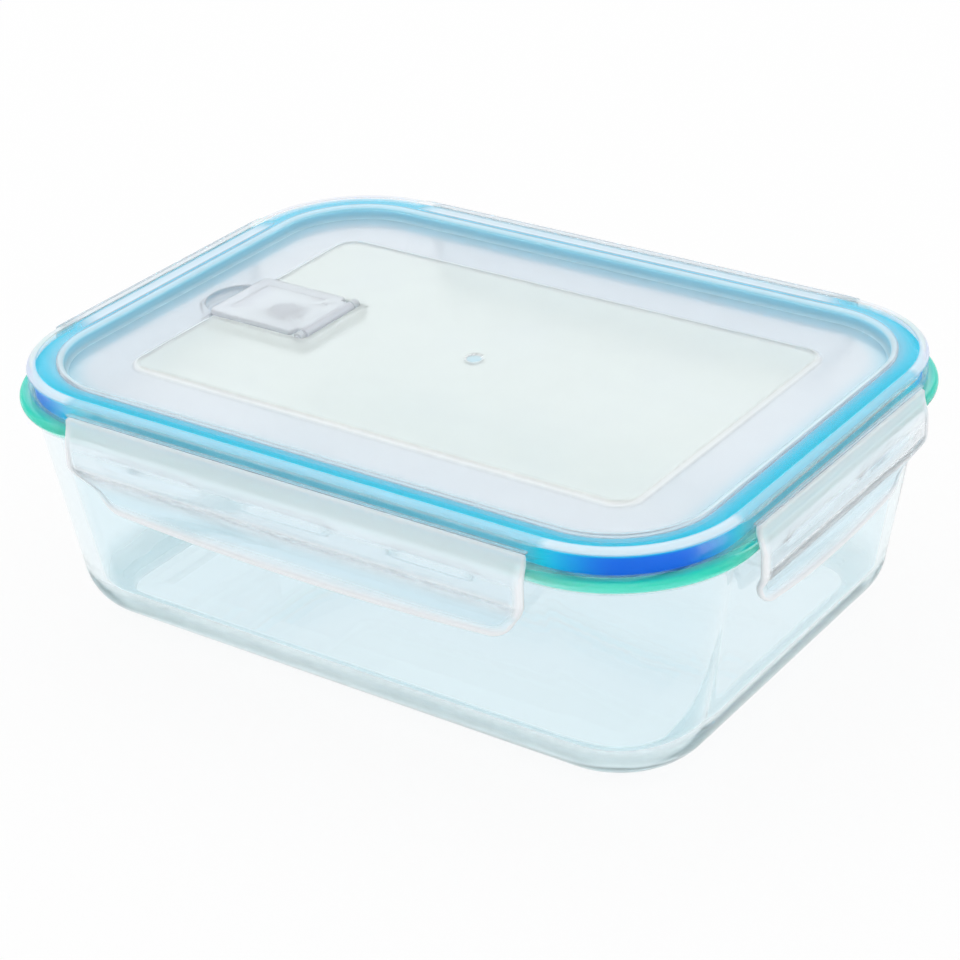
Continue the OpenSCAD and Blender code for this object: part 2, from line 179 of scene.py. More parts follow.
class LidSizes(bpy.types.PropertyGroup):
    """Sizes of the lid moulding and the seal ring in it."""

    top: length("Top", "Height of the lid's top", LID_TOP.z)
    outer_r: length("Outer corner", "Corner radius of the lid's outer edge", 33 * MM)
    skirt_z: length("Skirt edge", "Height of the skirt's lower edge", 62.6 * MM)
    skirt_t: length("Skirt", "Thickness of the skirt", 1.4 * MM)
    channel_w: length("Channel", "Width of the seal channel", 6.4 * MM)
    top_t: length("Top thickness", "Thickness of the lid over the channel", 1.6 * MM)
    inner_t: length("Inner wall", "Thickness of the channel's inner wall", 1.6 * MM)
    plug_z: length("Inner wall edge", "Height of the inner wall's lower edge", 61 * MM)
    edge_r: length("Outer edge", "Radius of the outer top edge", 1.4 * MM)
    brim_w: length("Brim", "Width of the milky band along the outer top edge", 2.6 * MM)
    inner_edge_r: length("Inner edge", "Radius of the inner top edge", 1.1 * MM)
    panel_z: length("Panel", "Height of the sunk panel's top", 65.6 * MM)
    panel_t: length("Panel thickness", "Thickness of the panel", 1.8 * MM)
    field_x: length("Field corner X", "Corner centre of the raised field along X", 68 * MM)
    field_y: length("Field corner Y", "Corner centre of the raised field along Y", 40.5 * MM)
    field_r: length("Field corner", "Corner radius of the raised field", 7 * MM)
    field_rise: length("Field rise", "Height of the raised field above the panel", 0.8 * MM)
    field_slope: length("Field slope", "Width of the slope round the raised field", 2 * MM)
    # Painted light: how far the seal's blue is painted in over the panel
    painted_shine_w: length("Shine", "How far the seal's blue shines in over the panel", 7 * MM)
    dimple_r: length("Dimple", "Radius of the moulding dimple in the middle", 2.3 * MM)
    dimple_d: length("Dimple depth", "Depth of the moulding dimple", 0.4 * MM)
    ledge_r: length("Ledge", "Outer face of the hinge ledges, outside the corner centres", 34.6 * MM)
    ledge_top: length("Ledge top", "Height of the hinge ledges' top", 68.2 * MM)
    ledge_low: length("Ledge underside", "Height of the hinge ledges' underside", 65 * MM)
    ledge_over: length("Ledge overrun", "How much further than its flap a ledge runs", 2 * MM)
    seal_gap: length("Seal gap", "Gap between the seal ring and its channel", 0.15 * MM)
    seal_seat: length("Seal seat", "Gap between the seal and the glass rim", 0.05 * MM)
    seal_lip_w: length("Seal lip", "Width of the seal's hanging lip", 2 * MM)
    seal_lip_z: length("Seal lip edge", "Height of the lip's lower end", 60.6 * MM)


class FlapSizes(bpy.types.PropertyGroup):
    """Sizes of the locking flaps and their hinge films."""

    short: length("End gap", "How much shorter a flap is than its straight side", 2 * MM)
    thick: length("Thickness", "Thickness of a flap", 1.6 * MM)
    low: length("Lower edge", "Height of a flap's lower edge", FLAP_LOW.z)
    corner_r: length("Lower corner", "Radius of the lower corners", 9 * MM)
    bow: length("Bow", "Rise of the lower edge from its middle to its corners", 1.6 * MM)
    hinge_r: length("Hinge reach", "Hinge axis outside the corner centres", 35.6 * MM)
    hinge_z: length("Hinge height", "Height of the hinge axis", 65.8 * MM)
    wide_r: length("Widest", "Outer face at its widest, outside the corner centres", 37.7 * MM)
    lip_r: length("Finger lip", "Outer face of the finger lip, outside the corner centres", 33.7 * MM)
    step_low: length("Step foot", "Height where the step ends", 45.5 * MM)
    step_top: length("Step head", "Height where the step starts", 54.5 * MM)
    crown: length("Crown", "Height where the flap turns in to its hinge", 59 * MM)
    taper: length("Taper", "How far each end of the finger lip stands back from the flap's end", 4.3 * MM)
    # The milky border is also a painted highlight
    border: length("Border", "Width of the milky border along a flap's edges", 2.2 * MM)
    flare: length("Flare", "How far the lip's edge flares out", 0.6 * MM)
    catch_z: length("Catch", "Height of the catch rib's top", 58.6 * MM)
    catch_h: length("Catch height", "Height of the catch rib", 2.6 * MM)
    catch_d: length("Catch depth", "How far the catch rib reaches in", 2.5 * MM)
    catch_space: length("Catch gap", "Gap between stretches of catch rib", 8 * MM)
    catch_fade: length("Catch fade", "Length over which a catch rib fades out at its ends", 10 * MM)
    rib_inset: length("Rib inset", "Distance from a flap's end to its rib", 7.5 * MM)
    rib_w: length("Rib width", "Width of a stiffening rib", 1.4 * MM)
    rib_d: length("Rib depth", "Depth of a stiffening rib", 0.6 * MM)
    rib_soft: length("Rib softness", "Width of the slopes beside a stiffening rib", 0.5 * MM)
    film_z: length("Film", "Height of the hinge film's middle", 66.825 * MM)
    film_t: length("Film thickness", "Thickness of the hinge film", 0.35 * MM)


class VentSizes(bpy.types.PropertyGroup):
    """Sizes of the steam vent: the well in the lid, its flap and the plug under it."""

    x: length("Vent hole", "Place of the vent hole along X", -60 * MM)
    well_x: length("Well half length", "Half the length of the well", 16 * MM)
    well_y: length("Well half width", "Half the width of the well", 12.5 * MM)
    well_z: length("Well floor", "Height of the well's floor", 62.6 * MM)
    well_t: length("Well wall", "Thickness of the well's walls and floor", 1.4 * MM)
    scoop_x: length("Scoop centre", "Place of the finger scoop's centre along X", -74 * MM)
    scoop_r: length("Scoop radius", "Radius of the finger scoop", 9.7 * MM)
    hole_r: length("Hole", "Radius of the vent hole", 2.4 * MM)
    patch_x0: length("Patch end", "Outer end of the lid's patch round the well", -86 * MM)
    patch_x1: length("Patch start", "Inner end of the lid's patch round the well", -41 * MM)
    patch_y: length("Patch half width", "Half the width of the lid's patch round the well", 15 * MM)
    axis_x: length("Hinge place", "Place of the vent hinge along X", -46 * MM)
    axis_z: length("Hinge height", "Height of the vent hinge", 65.9 * MM)
    barrel_r: length("Barrel", "Radius of the vent hinge's barrel", 1.5 * MM)
    barrel_y: length("Barrel half length", "Half the length of the barrel", 9.9 * MM)
    pin_r: length("Pin", "Radius of the hinge pins", 0.8 * MM)
    pin_y: length("Pin end", "Place of the pins' ends along Y", 12.8 * MM)
    cheek_y: length("Cheek", "Inner face of a hinge cheek along Y", 10.4 * MM)
    flap_x0: length("Flap end", "Free end of the vent flap along X", -75.5 * MM)
    flap_x1: length("Flap shoulder", "Shoulder of the vent flap at its hinge", -48.5 * MM)
    flap_y: length("Flap half width", "Half the width of the vent flap", 12 * MM)
    flap_z0: length("Flap underside", "Height of the vent flap's underside", 65.8 * MM)
    flap_z1: length("Flap top", "Height of the vent flap's top", 67.4 * MM)
    frame_w: length("Frame", "Width of the raised frame round the vent flap's top", 3.6 * MM)
    frame_d: length("Frame height", "Height of that frame above the top's middle", 0.3 * MM)
    boss_r: length("Boss", "Radius of the boss that holds the plug", 3.25 * MM)
    boss_z: length("Boss end", "Height of the boss's lower end", 64 * MM)
    stem_r: length("Stem", "Radius of the plug's stem", 1.8 * MM)
    head_r: length("Plug head", "Radius of the plug's head", 4.2 * MM)
    nipple_r: length("Nipple", "Radius of the plug's nipple", 2 * MM)
    nipple_z: length("Nipple end", "Height of the nipple's lower end", 61.6 * MM)


class Finishes(bpy.types.PropertyGroup):
    """Colours of the materials."""

    glass: colour("Glass", "Tint of the dish's walls", (0.89, 0.968, 0.995))
    glass_rim: colour("Glass rim", "Tint of the glass in the rim flange", (0.72, 0.96, 0.92))
    # Painted light: a green glow on the rim's edge, bright here and a darker teal in the next colour
    glass_edge_painted_glow: colour("Glass edge", "Green of the rim's edge, lit along the glass", (0.0, 0.92, 0.62))
    glass_painted_glow_dark: colour("Glass edge, shaded", "Teal that comes and goes along the rim", (0.0, 0.62, 0.52))
    # Painted light: pale colour laid over the round bottom edge of the glass
    glass_foot_painted_light: colour("Glass foot", "Pale light gathered in the round edge at the bottom", (0.80, 0.98, 1.0))
    lid: colour("Lid", "Hazy clear plastic of the lid, lavender in its margin", (0.945, 0.965, 1.0))
    field: colour("Lid, field", "The same plastic in the raised field, faintly green", (0.97, 1.0, 0.975))
    flap: colour("Flap", "Clear plastic of the flaps", (0.96, 0.98, 1.0))
    seal: colour("Seal", "Blue silicone of the seal ring", (0.0, 0.76, 1.0))
    # Painted shade: a deeper blue on the ring's outer face at the corners
    seal_painted_shade: colour("Seal, deep", "Deeper blue of the ring's outer face at the corners", (0.0, 0.165, 0.94))
    # Painted light: the seal's blue, painted into the lid, the dimple and the flaps, and onto the seal by the
    # ledges
    seal_painted_shine: colour("Seal's shine", "Blue that the seal throws into the lid beside it", (0.24, 0.82, 1.0))
    plug: colour("Vent plug", "Milky silicone of the vent plug", (0.86, 0.90, 0.92))
    floor: colour("Floor", "Pale studio floor", (0.93, 0.93, 0.93))


class StageSettings(bpy.types.PropertyGroup):
    """Camera, light and floor."""

    azimuth: angle("Azimuth", "Camera's turn round the object", 35.78)
    elevation: angle("Elevation", "Camera's height above the horizon", 28.18)
    roll: angle("Roll", "Camera's tilt about its own axis", -2.53)
    distance: length("Distance", "From the camera to its target", 0.6895)
    target_z: length("Target height", "Height of the point that the camera looks at", 0.028)
    lens: FloatProperty(name="Lens", description="Focal length in millimetres", default=101.37)
    shift_y: FloatProperty(name="Shift", description="Upward shift of the frame", default=0.0143)
    floor_r: length("Floor radius", "Radius of the floor", 6)
    floor_hub: length("Floor hub", "Radius of the floor's innermost ring", 0.02)
    floor_z: length("Floor height", "The floor lies just under the foot ring", -0.3 * MM)
    world_light: FloatProperty(name="World light", description="Strength of the studio's light", default=0.95)
    key_power: FloatProperty(name="Key lamp", description="Power of the large lamp overhead", default=2.0)
    key_size: length("Key lamp's size", "Width of the large lamp overhead", 1.1)
    key_place: place("Key lamp's place", "Where the large lamp hangs", (-0.55, 0.35, 1.35))
    floor_glow: share("Floor white", "How much of the floor that is seen is plain white", 0.9)


GROUPS = {
    "container_dish": DishSizes,
    "container_lid": LidSizes,
    "container_flap": FlapSizes,
    "container_vent": VentSizes,
    "container_finish": Finishes,
    "container_stage": StageSettings,
}


# Surfaces


def pairs(first, second):
    """Points of a plane from two coordinates. Either may be one number for all points."""
    return np.column_stack(np.broadcast_arrays(first, second))


def line(start, end, support=0.12 * MM, most=0.3):
    """A straight run of a section, with a point close to each end so that a round beside it shades well.

    That point lies at the support distance, or at most a share of the run, from the end.
    """
    start, end = np.asarray(start, float), np.asarray(end, float)
    span = np.linalg.norm(end - start)
    near = min(support / max(span, MERGE), most)
    return start + np.array([0, near, 1 - near, 1])[:, None] * (end - start)


def arc(centre, radius, first, last, steps=8):
    """Points of a circle: centre + radius (cos a, sin a), with a going from first to last in degrees."""
    a = np.radians(np.linspace(first, last, steps + 1))
    return pairs(centre[0] + radius * np.cos(a), centre[1] + radius * np.sin(a))


def circle(count):
    """Directions (cos a, sin a) anticlockwise round a full circle."""
    return arc((0, 0), 1, 0, 360, count)[:-1]


def chain(*runs):
    """Runs of points joined end to end, without repeats."""
    points = np.vstack(runs)
    fresh = np.linalg.norm(np.diff(points, axis=0), axis=1) > MERGE
    return points[np.concatenate(([True], fresh))]


def rounded(corners, radii, steps=6):
    """A closed outline: each corner becomes an arc that touches both its sides, with straights between."""
    corners = np.asarray(corners, float)
    runs = []
    for before, here, after, radius in zip(np.roll(corners, 1, 0), corners, np.roll(corners, -1, 0), radii):
        a = (before - here) / np.linalg.norm(before - here)
        b = (after - here) / np.linalg.norm(after - here)
        half = math.acos(np.clip(a @ b, -1, 1)) / 2
        middle = (a + b) / np.linalg.norm(a + b)
        centre = here + middle * radius / math.sin(half)
        t = np.linspace(-1, 1, steps + 1)[:, None] * (math.pi / 2 - half)
        across = (b - a) / np.linalg.norm(b - a)
        runs.append(centre + radius * (-middle * np.cos(t) + across * np.sin(t)))
    closed = runs + [runs[0][:1]]
    straights = [line(first[-1], second[0]) for first, second in zip(closed[:-1], closed[1:])]
    outline = chain(*[run for pair in zip(runs, straights) for run in pair])
    return outline[:-1]


def ease(t):
    """Smooth rise from 0 to 1 as t goes from 0 to 1: 3 t squared less 2 t cubed."""
    t = np.clip(t, 0, 1)
    return t * t * (3 - 2 * t)


def ramp(value, start, end):
    """Smooth rise from 0 where a value is at start to 1 where it is at end."""
    return ease((value - start) / (end - start))


def between(first, second, share):
    """First + share times (second - first)."""
    return first + (second - first) * share


def spread(*stops):
    """Coordinates along one axis: each stop is (start, end, steps), joined and sorted without repeats."""
    return np.unique(np.round(np.concatenate([np.linspace(a, b, n + 1) for a, b, n in stops]), 8))


def quads(rows, columns, wrap_rows=False, wrap_columns=False):
    """Faces of a grid of points numbered row by row. A wrapped way joins its last line to its first."""
    i, j = np.meshgrid(
        np.arange(rows if wrap_rows else rows - 1),
        np.arange(columns if wrap_columns else columns - 1),
        indexing="ij",
    )
    i_next, j_next = (i + 1) % rows, (j + 1) % columns
    corners = (i * columns + j, i_next * columns + j, i_next * columns + j_next, i * columns + j_next)
    return np.stack(corners, axis=-1).reshape(-1, 4)


def stations(xs, ys, arc_steps):
    """Stations anticlockwise round a rectangle with round corners, from the right side's near end.

    Gives each one's corner-centre point, its outward direction, and how near a corner it is: 0 along a side,
    half where the side ends and 1 in the corner.
    """
    half_x, half_y = xs[-1], ys[-1]
    turn = np.linspace(0, 90, arc_steps + 1)[1:-1]
    sides = (
        (pairs(half_x, ys), (half_x, half_y)),
        (pairs(xs[::-1], half_y), (-half_x, half_y)),
        (pairs(-half_x, ys[::-1]), (-half_x, -half_y)),
        (pairs(xs, -half_y), (half_x, -half_y)),
    )
    turned = ease(0.5 + np.minimum(turn, 90 - turn) / (2 * CORNER_TURN))
    spine, heading, corner = [], [], []
    for quarter, (side, centre) in enumerate(sides):
        spine += [side, np.tile(centre, (len(turn), 1))]
        heading += [np.full(len(side), 90.0 * quarter), 90.0 * quarter + turn]
        along = np.abs(side[:, 1 - quarter % 2])
        corner += [ease(0.5 - (along.max() - along) / (2 * CORNER_RUN)), turned]
    heading = np.radians(np.concatenate(heading))
    return np.vstack(spine), pairs(np.cos(heading), np.sin(heading)), np.concatenate(corner)


def carry(section, spine, outward):
    """A section (distance out, height) carried round stations: spine + distance times outward, at its height.

    The section may differ from station to station.
    """
    section = np.broadcast_to(section, (len(spine),) + np.shape(section)[-2:])
    flat = spine[:, None, :] + section[..., :1] * outward[:, None, :]
    return np.concatenate((flat, section[..., 1:]), axis=2)


def beyond(points, faces, low, high):
    """Those faces whose middle lies outside an upright rectangle between two corners."""
    middle = np.reshape(points, (-1, 3))[faces].mean(axis=1)[:, :2]
    return faces[~np.all((middle > low) & (middle < high), axis=1)]


def rod(outline, first, last, soft, steps=4):
    """A closed rod along the third axis: its outline is drawn in by soft at both ends, on a quarter circle.

    The ends are closed by caps that shrink to the outline's middle.
    """
    middle = outline.mean(axis=0)
    spoke = outline - middle
    reach = np.linalg.norm(spoke, axis=1, keepdims=True)
    turn = np.radians(np.linspace(0, 90, steps + 1))
    inset = np.concatenate((soft * (1 - np.sin(turn)), soft * (1 - np.cos(turn))))
    along = np.concatenate((first + soft * (1 - np.cos(turn)), last - soft * (1 - np.sin(turn))))
    rows = middle + spoke[:, None] * (1 - inset[None, :, None] / reach[:, None])
    rows = np.concatenate((rows, np.broadcast_to(along[None, :, None], rows.shape[:2] + (1,))), axis=2)
    caps = [np.broadcast_to((*middle, end), (len(outline), 1, 3)) for end in (first, last)]
    return np.concatenate((caps[0], rows, caps[1]), axis=1)


def box_reach(way, long, side, power):
    """Distance along each ray to a box with round corners, which is an ellipse of a high power."""
    return (np.abs(way[:, 0] / long) ** power + np.abs(way[:, 1] / side) ** power) ** (-1 / power)


def longer(first, second, power):
    """The longer of two distances, blended where they are alike: the root of the sum of their powers."""
    return (first**power + second**power) ** (1 / power)


def quarter_turn(steps=5):
    """Pairs (1 - sin a, 1 - cos a) for a from 0 to 90 degrees."""
    a = np.radians(np.linspace(0, 90, steps + 1))
    return zip(1 - np.sin(a), 1 - np.cos(a))


def over_edge(out, z, to_out, to_z):
    """Rows (distance out, height) on a quarter of an ellipse that leaves level and arrives upright."""
    return [(between(to_out, out, s), between(z, to_z, c)) for s, c in quarter_turn()]


def into_corner(out, z, to_out, to_z):
    """Rows (distance out, height) on a quarter of an ellipse that leaves upright and arrives level."""
    return [(between(out, to_out, c), between(to_z, z, s)) for s, c in quarter_turn()]


def star(x, way, rows):
    """Rows (distance out, height) round an upright axis at x: each point is the axis + distance times way.

    A distance or height may be one number or differ from ray to ray.
    """
    out, z = (np.stack([np.broadcast_to(row[part], len(way)) for row in rows], 1) for part in (0, 1))
    return np.stack((x + out * way[:, :1], out * way[:, 1:], z), axis=-1)


class Shape:
    """Collects grids of points with faces and attributes, and makes one mesh object of them at the origin."""

    def __init__(self):
        self.points, self.faces, self.marks, self.count = [], [], {}, 0

    def add(self, points, faces, flip=False, **marks):
        """Adds points (any shape ending in 3) and faces that count from 0. A mark has a value per point."""
        flat = np.reshape(points, (-1, 3))
        faces = faces[:, ::-1] if flip else faces
        self.points.append(flat)
        self.faces.append(faces + self.count)
        for name, value in marks.items():
            self.marks.setdefault(name, []).append(np.broadcast_to(value, np.shape(points)[:-1]).reshape(-1))
        self.count += len(flat)

    def wrap(self, points, flip=False, closed=False, **marks):
        """Adds a grid whose last row joins its first. In a closed one its last column joins its first too."""
        self.add(points, quads(*points.shape[:2], wrap_rows=True, wrap_columns=closed), flip, **marks)

    def build(self, name, material):
        """Makes the object of the points in use, merges those that meet, and turns the faces outward."""
        mesh = bpy.data.meshes.new(name)
        used, faces = np.unique(np.vstack(self.faces), return_inverse=True)
        faces = faces.reshape(-1, 4)
        points = np.vstack(self.points)[used]
        mesh.vertices.add(len(points))
        mesh.vertices.foreach_set("co", points.astype(np.float32).ravel())
        mesh.loops.add(faces.size)
        mesh.loops.foreach_set("vertex_index", faces.astype(np.int32).ravel())
        mesh.polygons.add(len(faces))
        mesh.polygons.foreach_set("loop_start", np.arange(0, faces.size, 4, dtype=np.int32))
        for mark, values in self.marks.items():
            layer = mesh.attributes.new(mark, "FLOAT", "POINT")
            layer.data.foreach_set("value", np.concatenate(values)[used].astype(np.float32))
        mesh.update(calc_edges=True)
        work = bmesh.new()
        work.from_mesh(mesh)
        bmesh.ops.remove_doubles(work, verts=work.verts, dist=WELD)
        bmesh.ops.dissolve_degenerate(work, edges=work.edges, dist=MERGE)
        bmesh.ops.recalc_face_normals(work, faces=work.faces)
        work.to_mesh(mesh)
        work.free()
        mesh.validate()
        mesh.shade_smooth()
        mesh.materials.append(material)
        piece = bpy.data.objects.new(name, mesh)
        bpy.context.collection.objects.link(piece)
        return piece


# Shader nodes


class Wire:
    """One output of a node in a material's tree. Arithmetic on wires adds Math nodes."""

    def __init__(self, tree, socket=None):
        self.tree, self.socket = tree, socket

    def add(self, kind, settings=None, sockets=None, output=0):
        """Adds a node of a type, sets its settings first and then its sockets, and gives one output."""
        node = self.tree.nodes.new(kind)
        for name, value in (settings or {}).items():
            if name == "stops":
                self._stops(node.color_ramp, value)
            else:
                setattr(node, name, value)
        for name, value in (sockets or {}).items():
            if isinstance(value, Wire):
                self.tree.links.new(value.socket, node.inputs[name])
            else:
                node.inputs[name].default_value = value
        return Wire(self.tree, node.outputs[output] if node.outputs else None)

    @staticmethod
    def _stops(colours, stops):
        """Sets a colour ramp's stops, each (place, colour)."""
        while len(colours.elements) < len(stops):
            colours.elements.new(0.5)
        for element, (place, shade) in zip(colours.elements, stops):
            element.position, element.color = place, shade

    def _math(self, operation, first, second, clamp=False):
        """Adds a Math node."""
        return self.add("ShaderNodeMath", {"operation": operation, "use_clamp": clamp}, {0: first, 1: second})

    def __add__(self, other):
        return self._math("ADD", self, other)

    def __sub__(self, other):
        return self._math("SUBTRACT", self, other)

    def __rsub__(self, other):
        return self._math("SUBTRACT", other, self)

    def __mul__(self, other):
        return self._math("MULTIPLY", self, other)

    __radd__, __rmul__ = __add__, __mul__

    def clamped(self):
        """The same value, kept from 0 to 1."""
        return self._math("ADD", self, 0.0, clamp=True)

    def mix(self, first, second):
        """Colour between two colours, with this wire as the share of the second."""
        sockets = {0: self, 6: opaque(first), 7: opaque(second)}
        return self.add("ShaderNodeMix", {"data_type": "RGBA"}, sockets, output=2)

    def blend(self, first, second):
        """Shader between two shaders, with this wire as the share of the second."""
        return self.add("ShaderNodeMixShader", None, {0: self, 1: first, 2: second})

    def end(self):
        """Ends a material with this shader."""
        self.add("ShaderNodeOutputMaterial", None, {"Surface": self})


def opaque(shade):
    """A colour with its alpha, or the wire that was given."""
    return shade if isinstance(shade, Wire) else (*shade, 1.0)


def dimmed(shade, amount):
    """A colour times an amount."""
    return tuple(channel * amount for channel in shade)


def new_material(name):
    """A material with an empty tree, and a wire to add its nodes with."""
    material = bpy.data.materials.new(name)
    material.use_nodes = True
    material.node_tree.nodes.clear()
    return material, Wire(material.node_tree)


def noise(tree, scale, detail=2.0):
    """Soft noise from 0 to 1 in the piece's own coordinates, with scale in waves per metre."""
    place = tree.add("ShaderNodeTexCoord", output="Object")
    return tree.add("ShaderNodeTexNoise", None, {"Vector": place, "Scale": scale, "Detail": detail})


def bump(tree, height, strength, distance):
    """Fine relief that follows a height."""
    return tree.add("ShaderNodeBump", None, {"Strength": strength, "Distance": distance, "Height": height})


def mark(tree, name):
    """One of the piece's own point attributes."""
    return tree.add("ShaderNodeAttribute", {"attribute_name": name}, output="Fac")


def ray(tree, kind):
    """1 for rays of a kind, such as Camera or Shadow, and 0 for others."""
    return tree.add("ShaderNodeLightPath", output=f"Is {kind} Ray")


def skin(tree, shade, roughness, bending, more=None):
    """The general shader with a colour, a roughness and an index of refraction, and more sockets by name."""
    sockets = {"Base Color": opaque(shade), "Roughness": roughness, "IOR": bending, **(more or {})}
    return tree.add("ShaderNodeBsdfPrincipled", None, sockets)


def clear_to_shadows(tree, body, shade, amount):
    """Ends a clear material: rays towards lamps pass through with a tint, so that its shadow stays soft."""
    through = tree.add("ShaderNodeBsdfTransparent", None, {"Color": opaque(shade)})
    (ray(tree, "Shadow") * amount).blend(body, through).end()


def glass_finish(finish):
    """Clear pressed glass: aqua through its walls, with a faint ripple from the mould.

    The light that runs along the glass is painted at the rim's edge as an opaque green glow.
    """
    material, tree = new_material("dish_glass")
    edge, foot = mark(tree, "edge"), mark(tree, "foot")
    ripple = noise(tree, scale=45.0)
    relief = bump(tree, ripple, strength=0.08, distance=0.4 * MM)
    # Painted light: an opaque green glow on the rim's edge, where light would run along the glass
    painted_glow_share = edge * 0.85
    # Painted light: a pale opaque colour over the round bottom edge
    painted_foot_share = foot * (0.2 + ripple * 0.45)
    inside = edge.mix(finish.glass, finish.glass_rim)
    through = {"Transmission Weight": 1.0, "Normal": relief}
    clear = skin(tree, inside, roughness=ripple * 0.02, bending=GLASS_IOR, more=through)
    green = ripple.mix(finish.glass_edge_painted_glow, finish.glass_painted_glow_dark)
    glow = skin(tree, green, roughness=0.08, bending=GLASS_IOR, more={"Specular IOR Level": 0.25})
    painted_foot_light = skin(tree, finish.glass_foot_painted_light, roughness=0.1 + ripple * 0.05, bending=GLASS_IOR)
    body = painted_glow_share.blend(painted_foot_share.blend(clear, painted_foot_light), glow)
    clear_to_shadows(tree, body, shade=(0.9, 0.97, 0.97), amount=1.0)
    return material


def plastic_finish(finish, name, shade, field_shade, roughness, bending):
    """Clear moulded plastic under a milky veil, as thick as the piece's veil attribute says.

    Where there is no veil the plastic lies close on the seal, whose colour shows through undimmed. A second
    attribute leads from one shade to the other, and below 0 to the seal's blue, painted in as shine.
    """
    material, tree = new_material(name)
    veil, tone = mark(tree, "veil"), mark(tree, "tone")
    cloud = noise(tree, scale=30.0)
    relief = bump(tree, noise(tree, scale=700.0, detail=3.0), strength=0.06, distance=0.1 * MM)
    field_share = tone * (0.65 + cloud * 0.7)
    # Painted light: below 0 the seal's blue is painted in as shine
    painted_shine_share = (tone * -0.75).clamped()
    milky_share = veil * (0.9 + cloud * 0.2)
    open_share = (1.0 - veil * 6.0).clamped() * 0.8
    tint = painted_shine_share.mix(field_share.mix(shade, field_shade), finish.seal_painted_shine)
    through = {"Transmission Weight": 1.0, "Normal": relief}
    clear = skin(tree, tint, roughness=roughness + cloud * 0.06, bending=bending, more=through)
    milky = skin(tree, tint, roughness=0.4 + cloud * 0.1, bending=PLASTIC_IOR, more={"Normal": relief})
    undimmed = tree.add("ShaderNodeBsdfTransparent", None, {"Color": (1.0, 1.0, 1.0, 1.0)})
    body = open_share.blend(milky_share.blend(clear, milky), undimmed)
    clear_to_shadows(tree, body, shade, amount=0.85)
    return material


def seal_finish(finish):
    """Smooth blue silicone. Its outer face has painted shade at the corners, a deeper blue, and painted light
    by the ledges, a paler blue.
    """
    material, tree = new_material("blue_silicone")
    deep = mark(tree, "deep")
    cloud = noise(tree, scale=60.0)
    relief = bump(tree, noise(tree, scale=900.0), strength=0.1, distance=0.1 * MM)
    blue = (-1 * deep).mix(deep.mix(finish.seal, finish.seal_painted_shade), finish.seal_painted_shine)
    more = {"Specular IOR Level": 0.2, "Normal": relief}
    skin(tree, blue, roughness=0.42 + cloud * 0.12, bending=SILICONE_IOR, more=more).end()
    return material


def plug_finish(finish):
    """Milky soft silicone."""
    material, tree = new_material("milky_silicone")
    cloud = noise(tree, scale=200.0)
    tint = cloud.mix(finish.plug, dimmed(finish.plug, amount=0.94))
    more = {"Transmission Weight": 0.1}
    skin(tree, tint, roughness=0.4 + cloud * 0.1, bending=SILICONE_IOR, more=more).end()
    return material


def finished(name, make, *values):
    """The material of that name, made once."""
    return bpy.data.materials.get(name) or make(*values)


def lid_material(scene):
    """Hazy clear plastic of the lid and the vent flap."""
    finish, name = scene.container_finish, "hazy_plastic"
    return finished(name, plastic_finish, finish, name, finish.lid, finish.field, LID_ROUGHNESS, PLASTIC_IOR)


def flap_material(scene):
    """Clear plastic of the locking flaps and their films."""
    finish, name = scene.container_finish, "clear_plastic"
    return finished(name, plastic_finish, finish, name, finish.flap, finish.lid, FLAP_ROUGHNESS, THIN_IOR)


# Shared layout


class Layout:
    """Corner centres and the lines of points that the dish, the seal and the lid share.

    The lid's lines lie closer together round the vent and over the dimple.
    """

    def __init__(self, scene):
        dish, lid, vent = scene.container_dish, scene.container_lid, scene.container_vent
        self.half_x = GLASS_TOP.x - dish.rim_r
        self.half_y = GLASS_TOP.y - dish.rim_r
        self.xs = spread((-self.half_x, self.half_x, 44))
        self.ys = spread((-self.half_y, self.half_y, 28))
        fine = 1.4 * lid.dimple_r
        self.lid_xs = spread(
            (-self.half_x, vent.patch_x1, 44),
            (vent.patch_x1, -fine, 14),
            (-fine, fine, 20),
            (fine, self.half_x, 22),
        )
        self.lid_ys = spread(
            (-self.half_y, -vent.patch_y, 9),
            (-vent.patch_y, vent.patch_y, 50),
            (vent.patch_y, self.half_y, 9),
        )
        self.lid_rs = spread((0, -self.half_x - vent.patch_x0, 30))


def channel_start(lid):
    """Inner side of the seal's channel, outside the corner centres."""
    return lid.outer_r - lid.skirt_t - lid.channel_w


def centre_patch(shape, xs, ys, height, up, **marks):
    """The flat middle: a grid over the corner-centre rectangle at a height."""
    x, y = np.meshgrid(xs, ys, indexing="ij")
    points = np.stack((x, y, np.broadcast_to(height, x.shape)), axis=-1)
    shape.add(points, quads(len(xs), len(ys)), flip=not up, **marks)


def put(piece, body, slot, *nodes):
    """Rides a finished piece on its body and hides the CAD nodes that it stands for. The slot is not used."""
    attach(piece, body)
    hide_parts(*nodes)


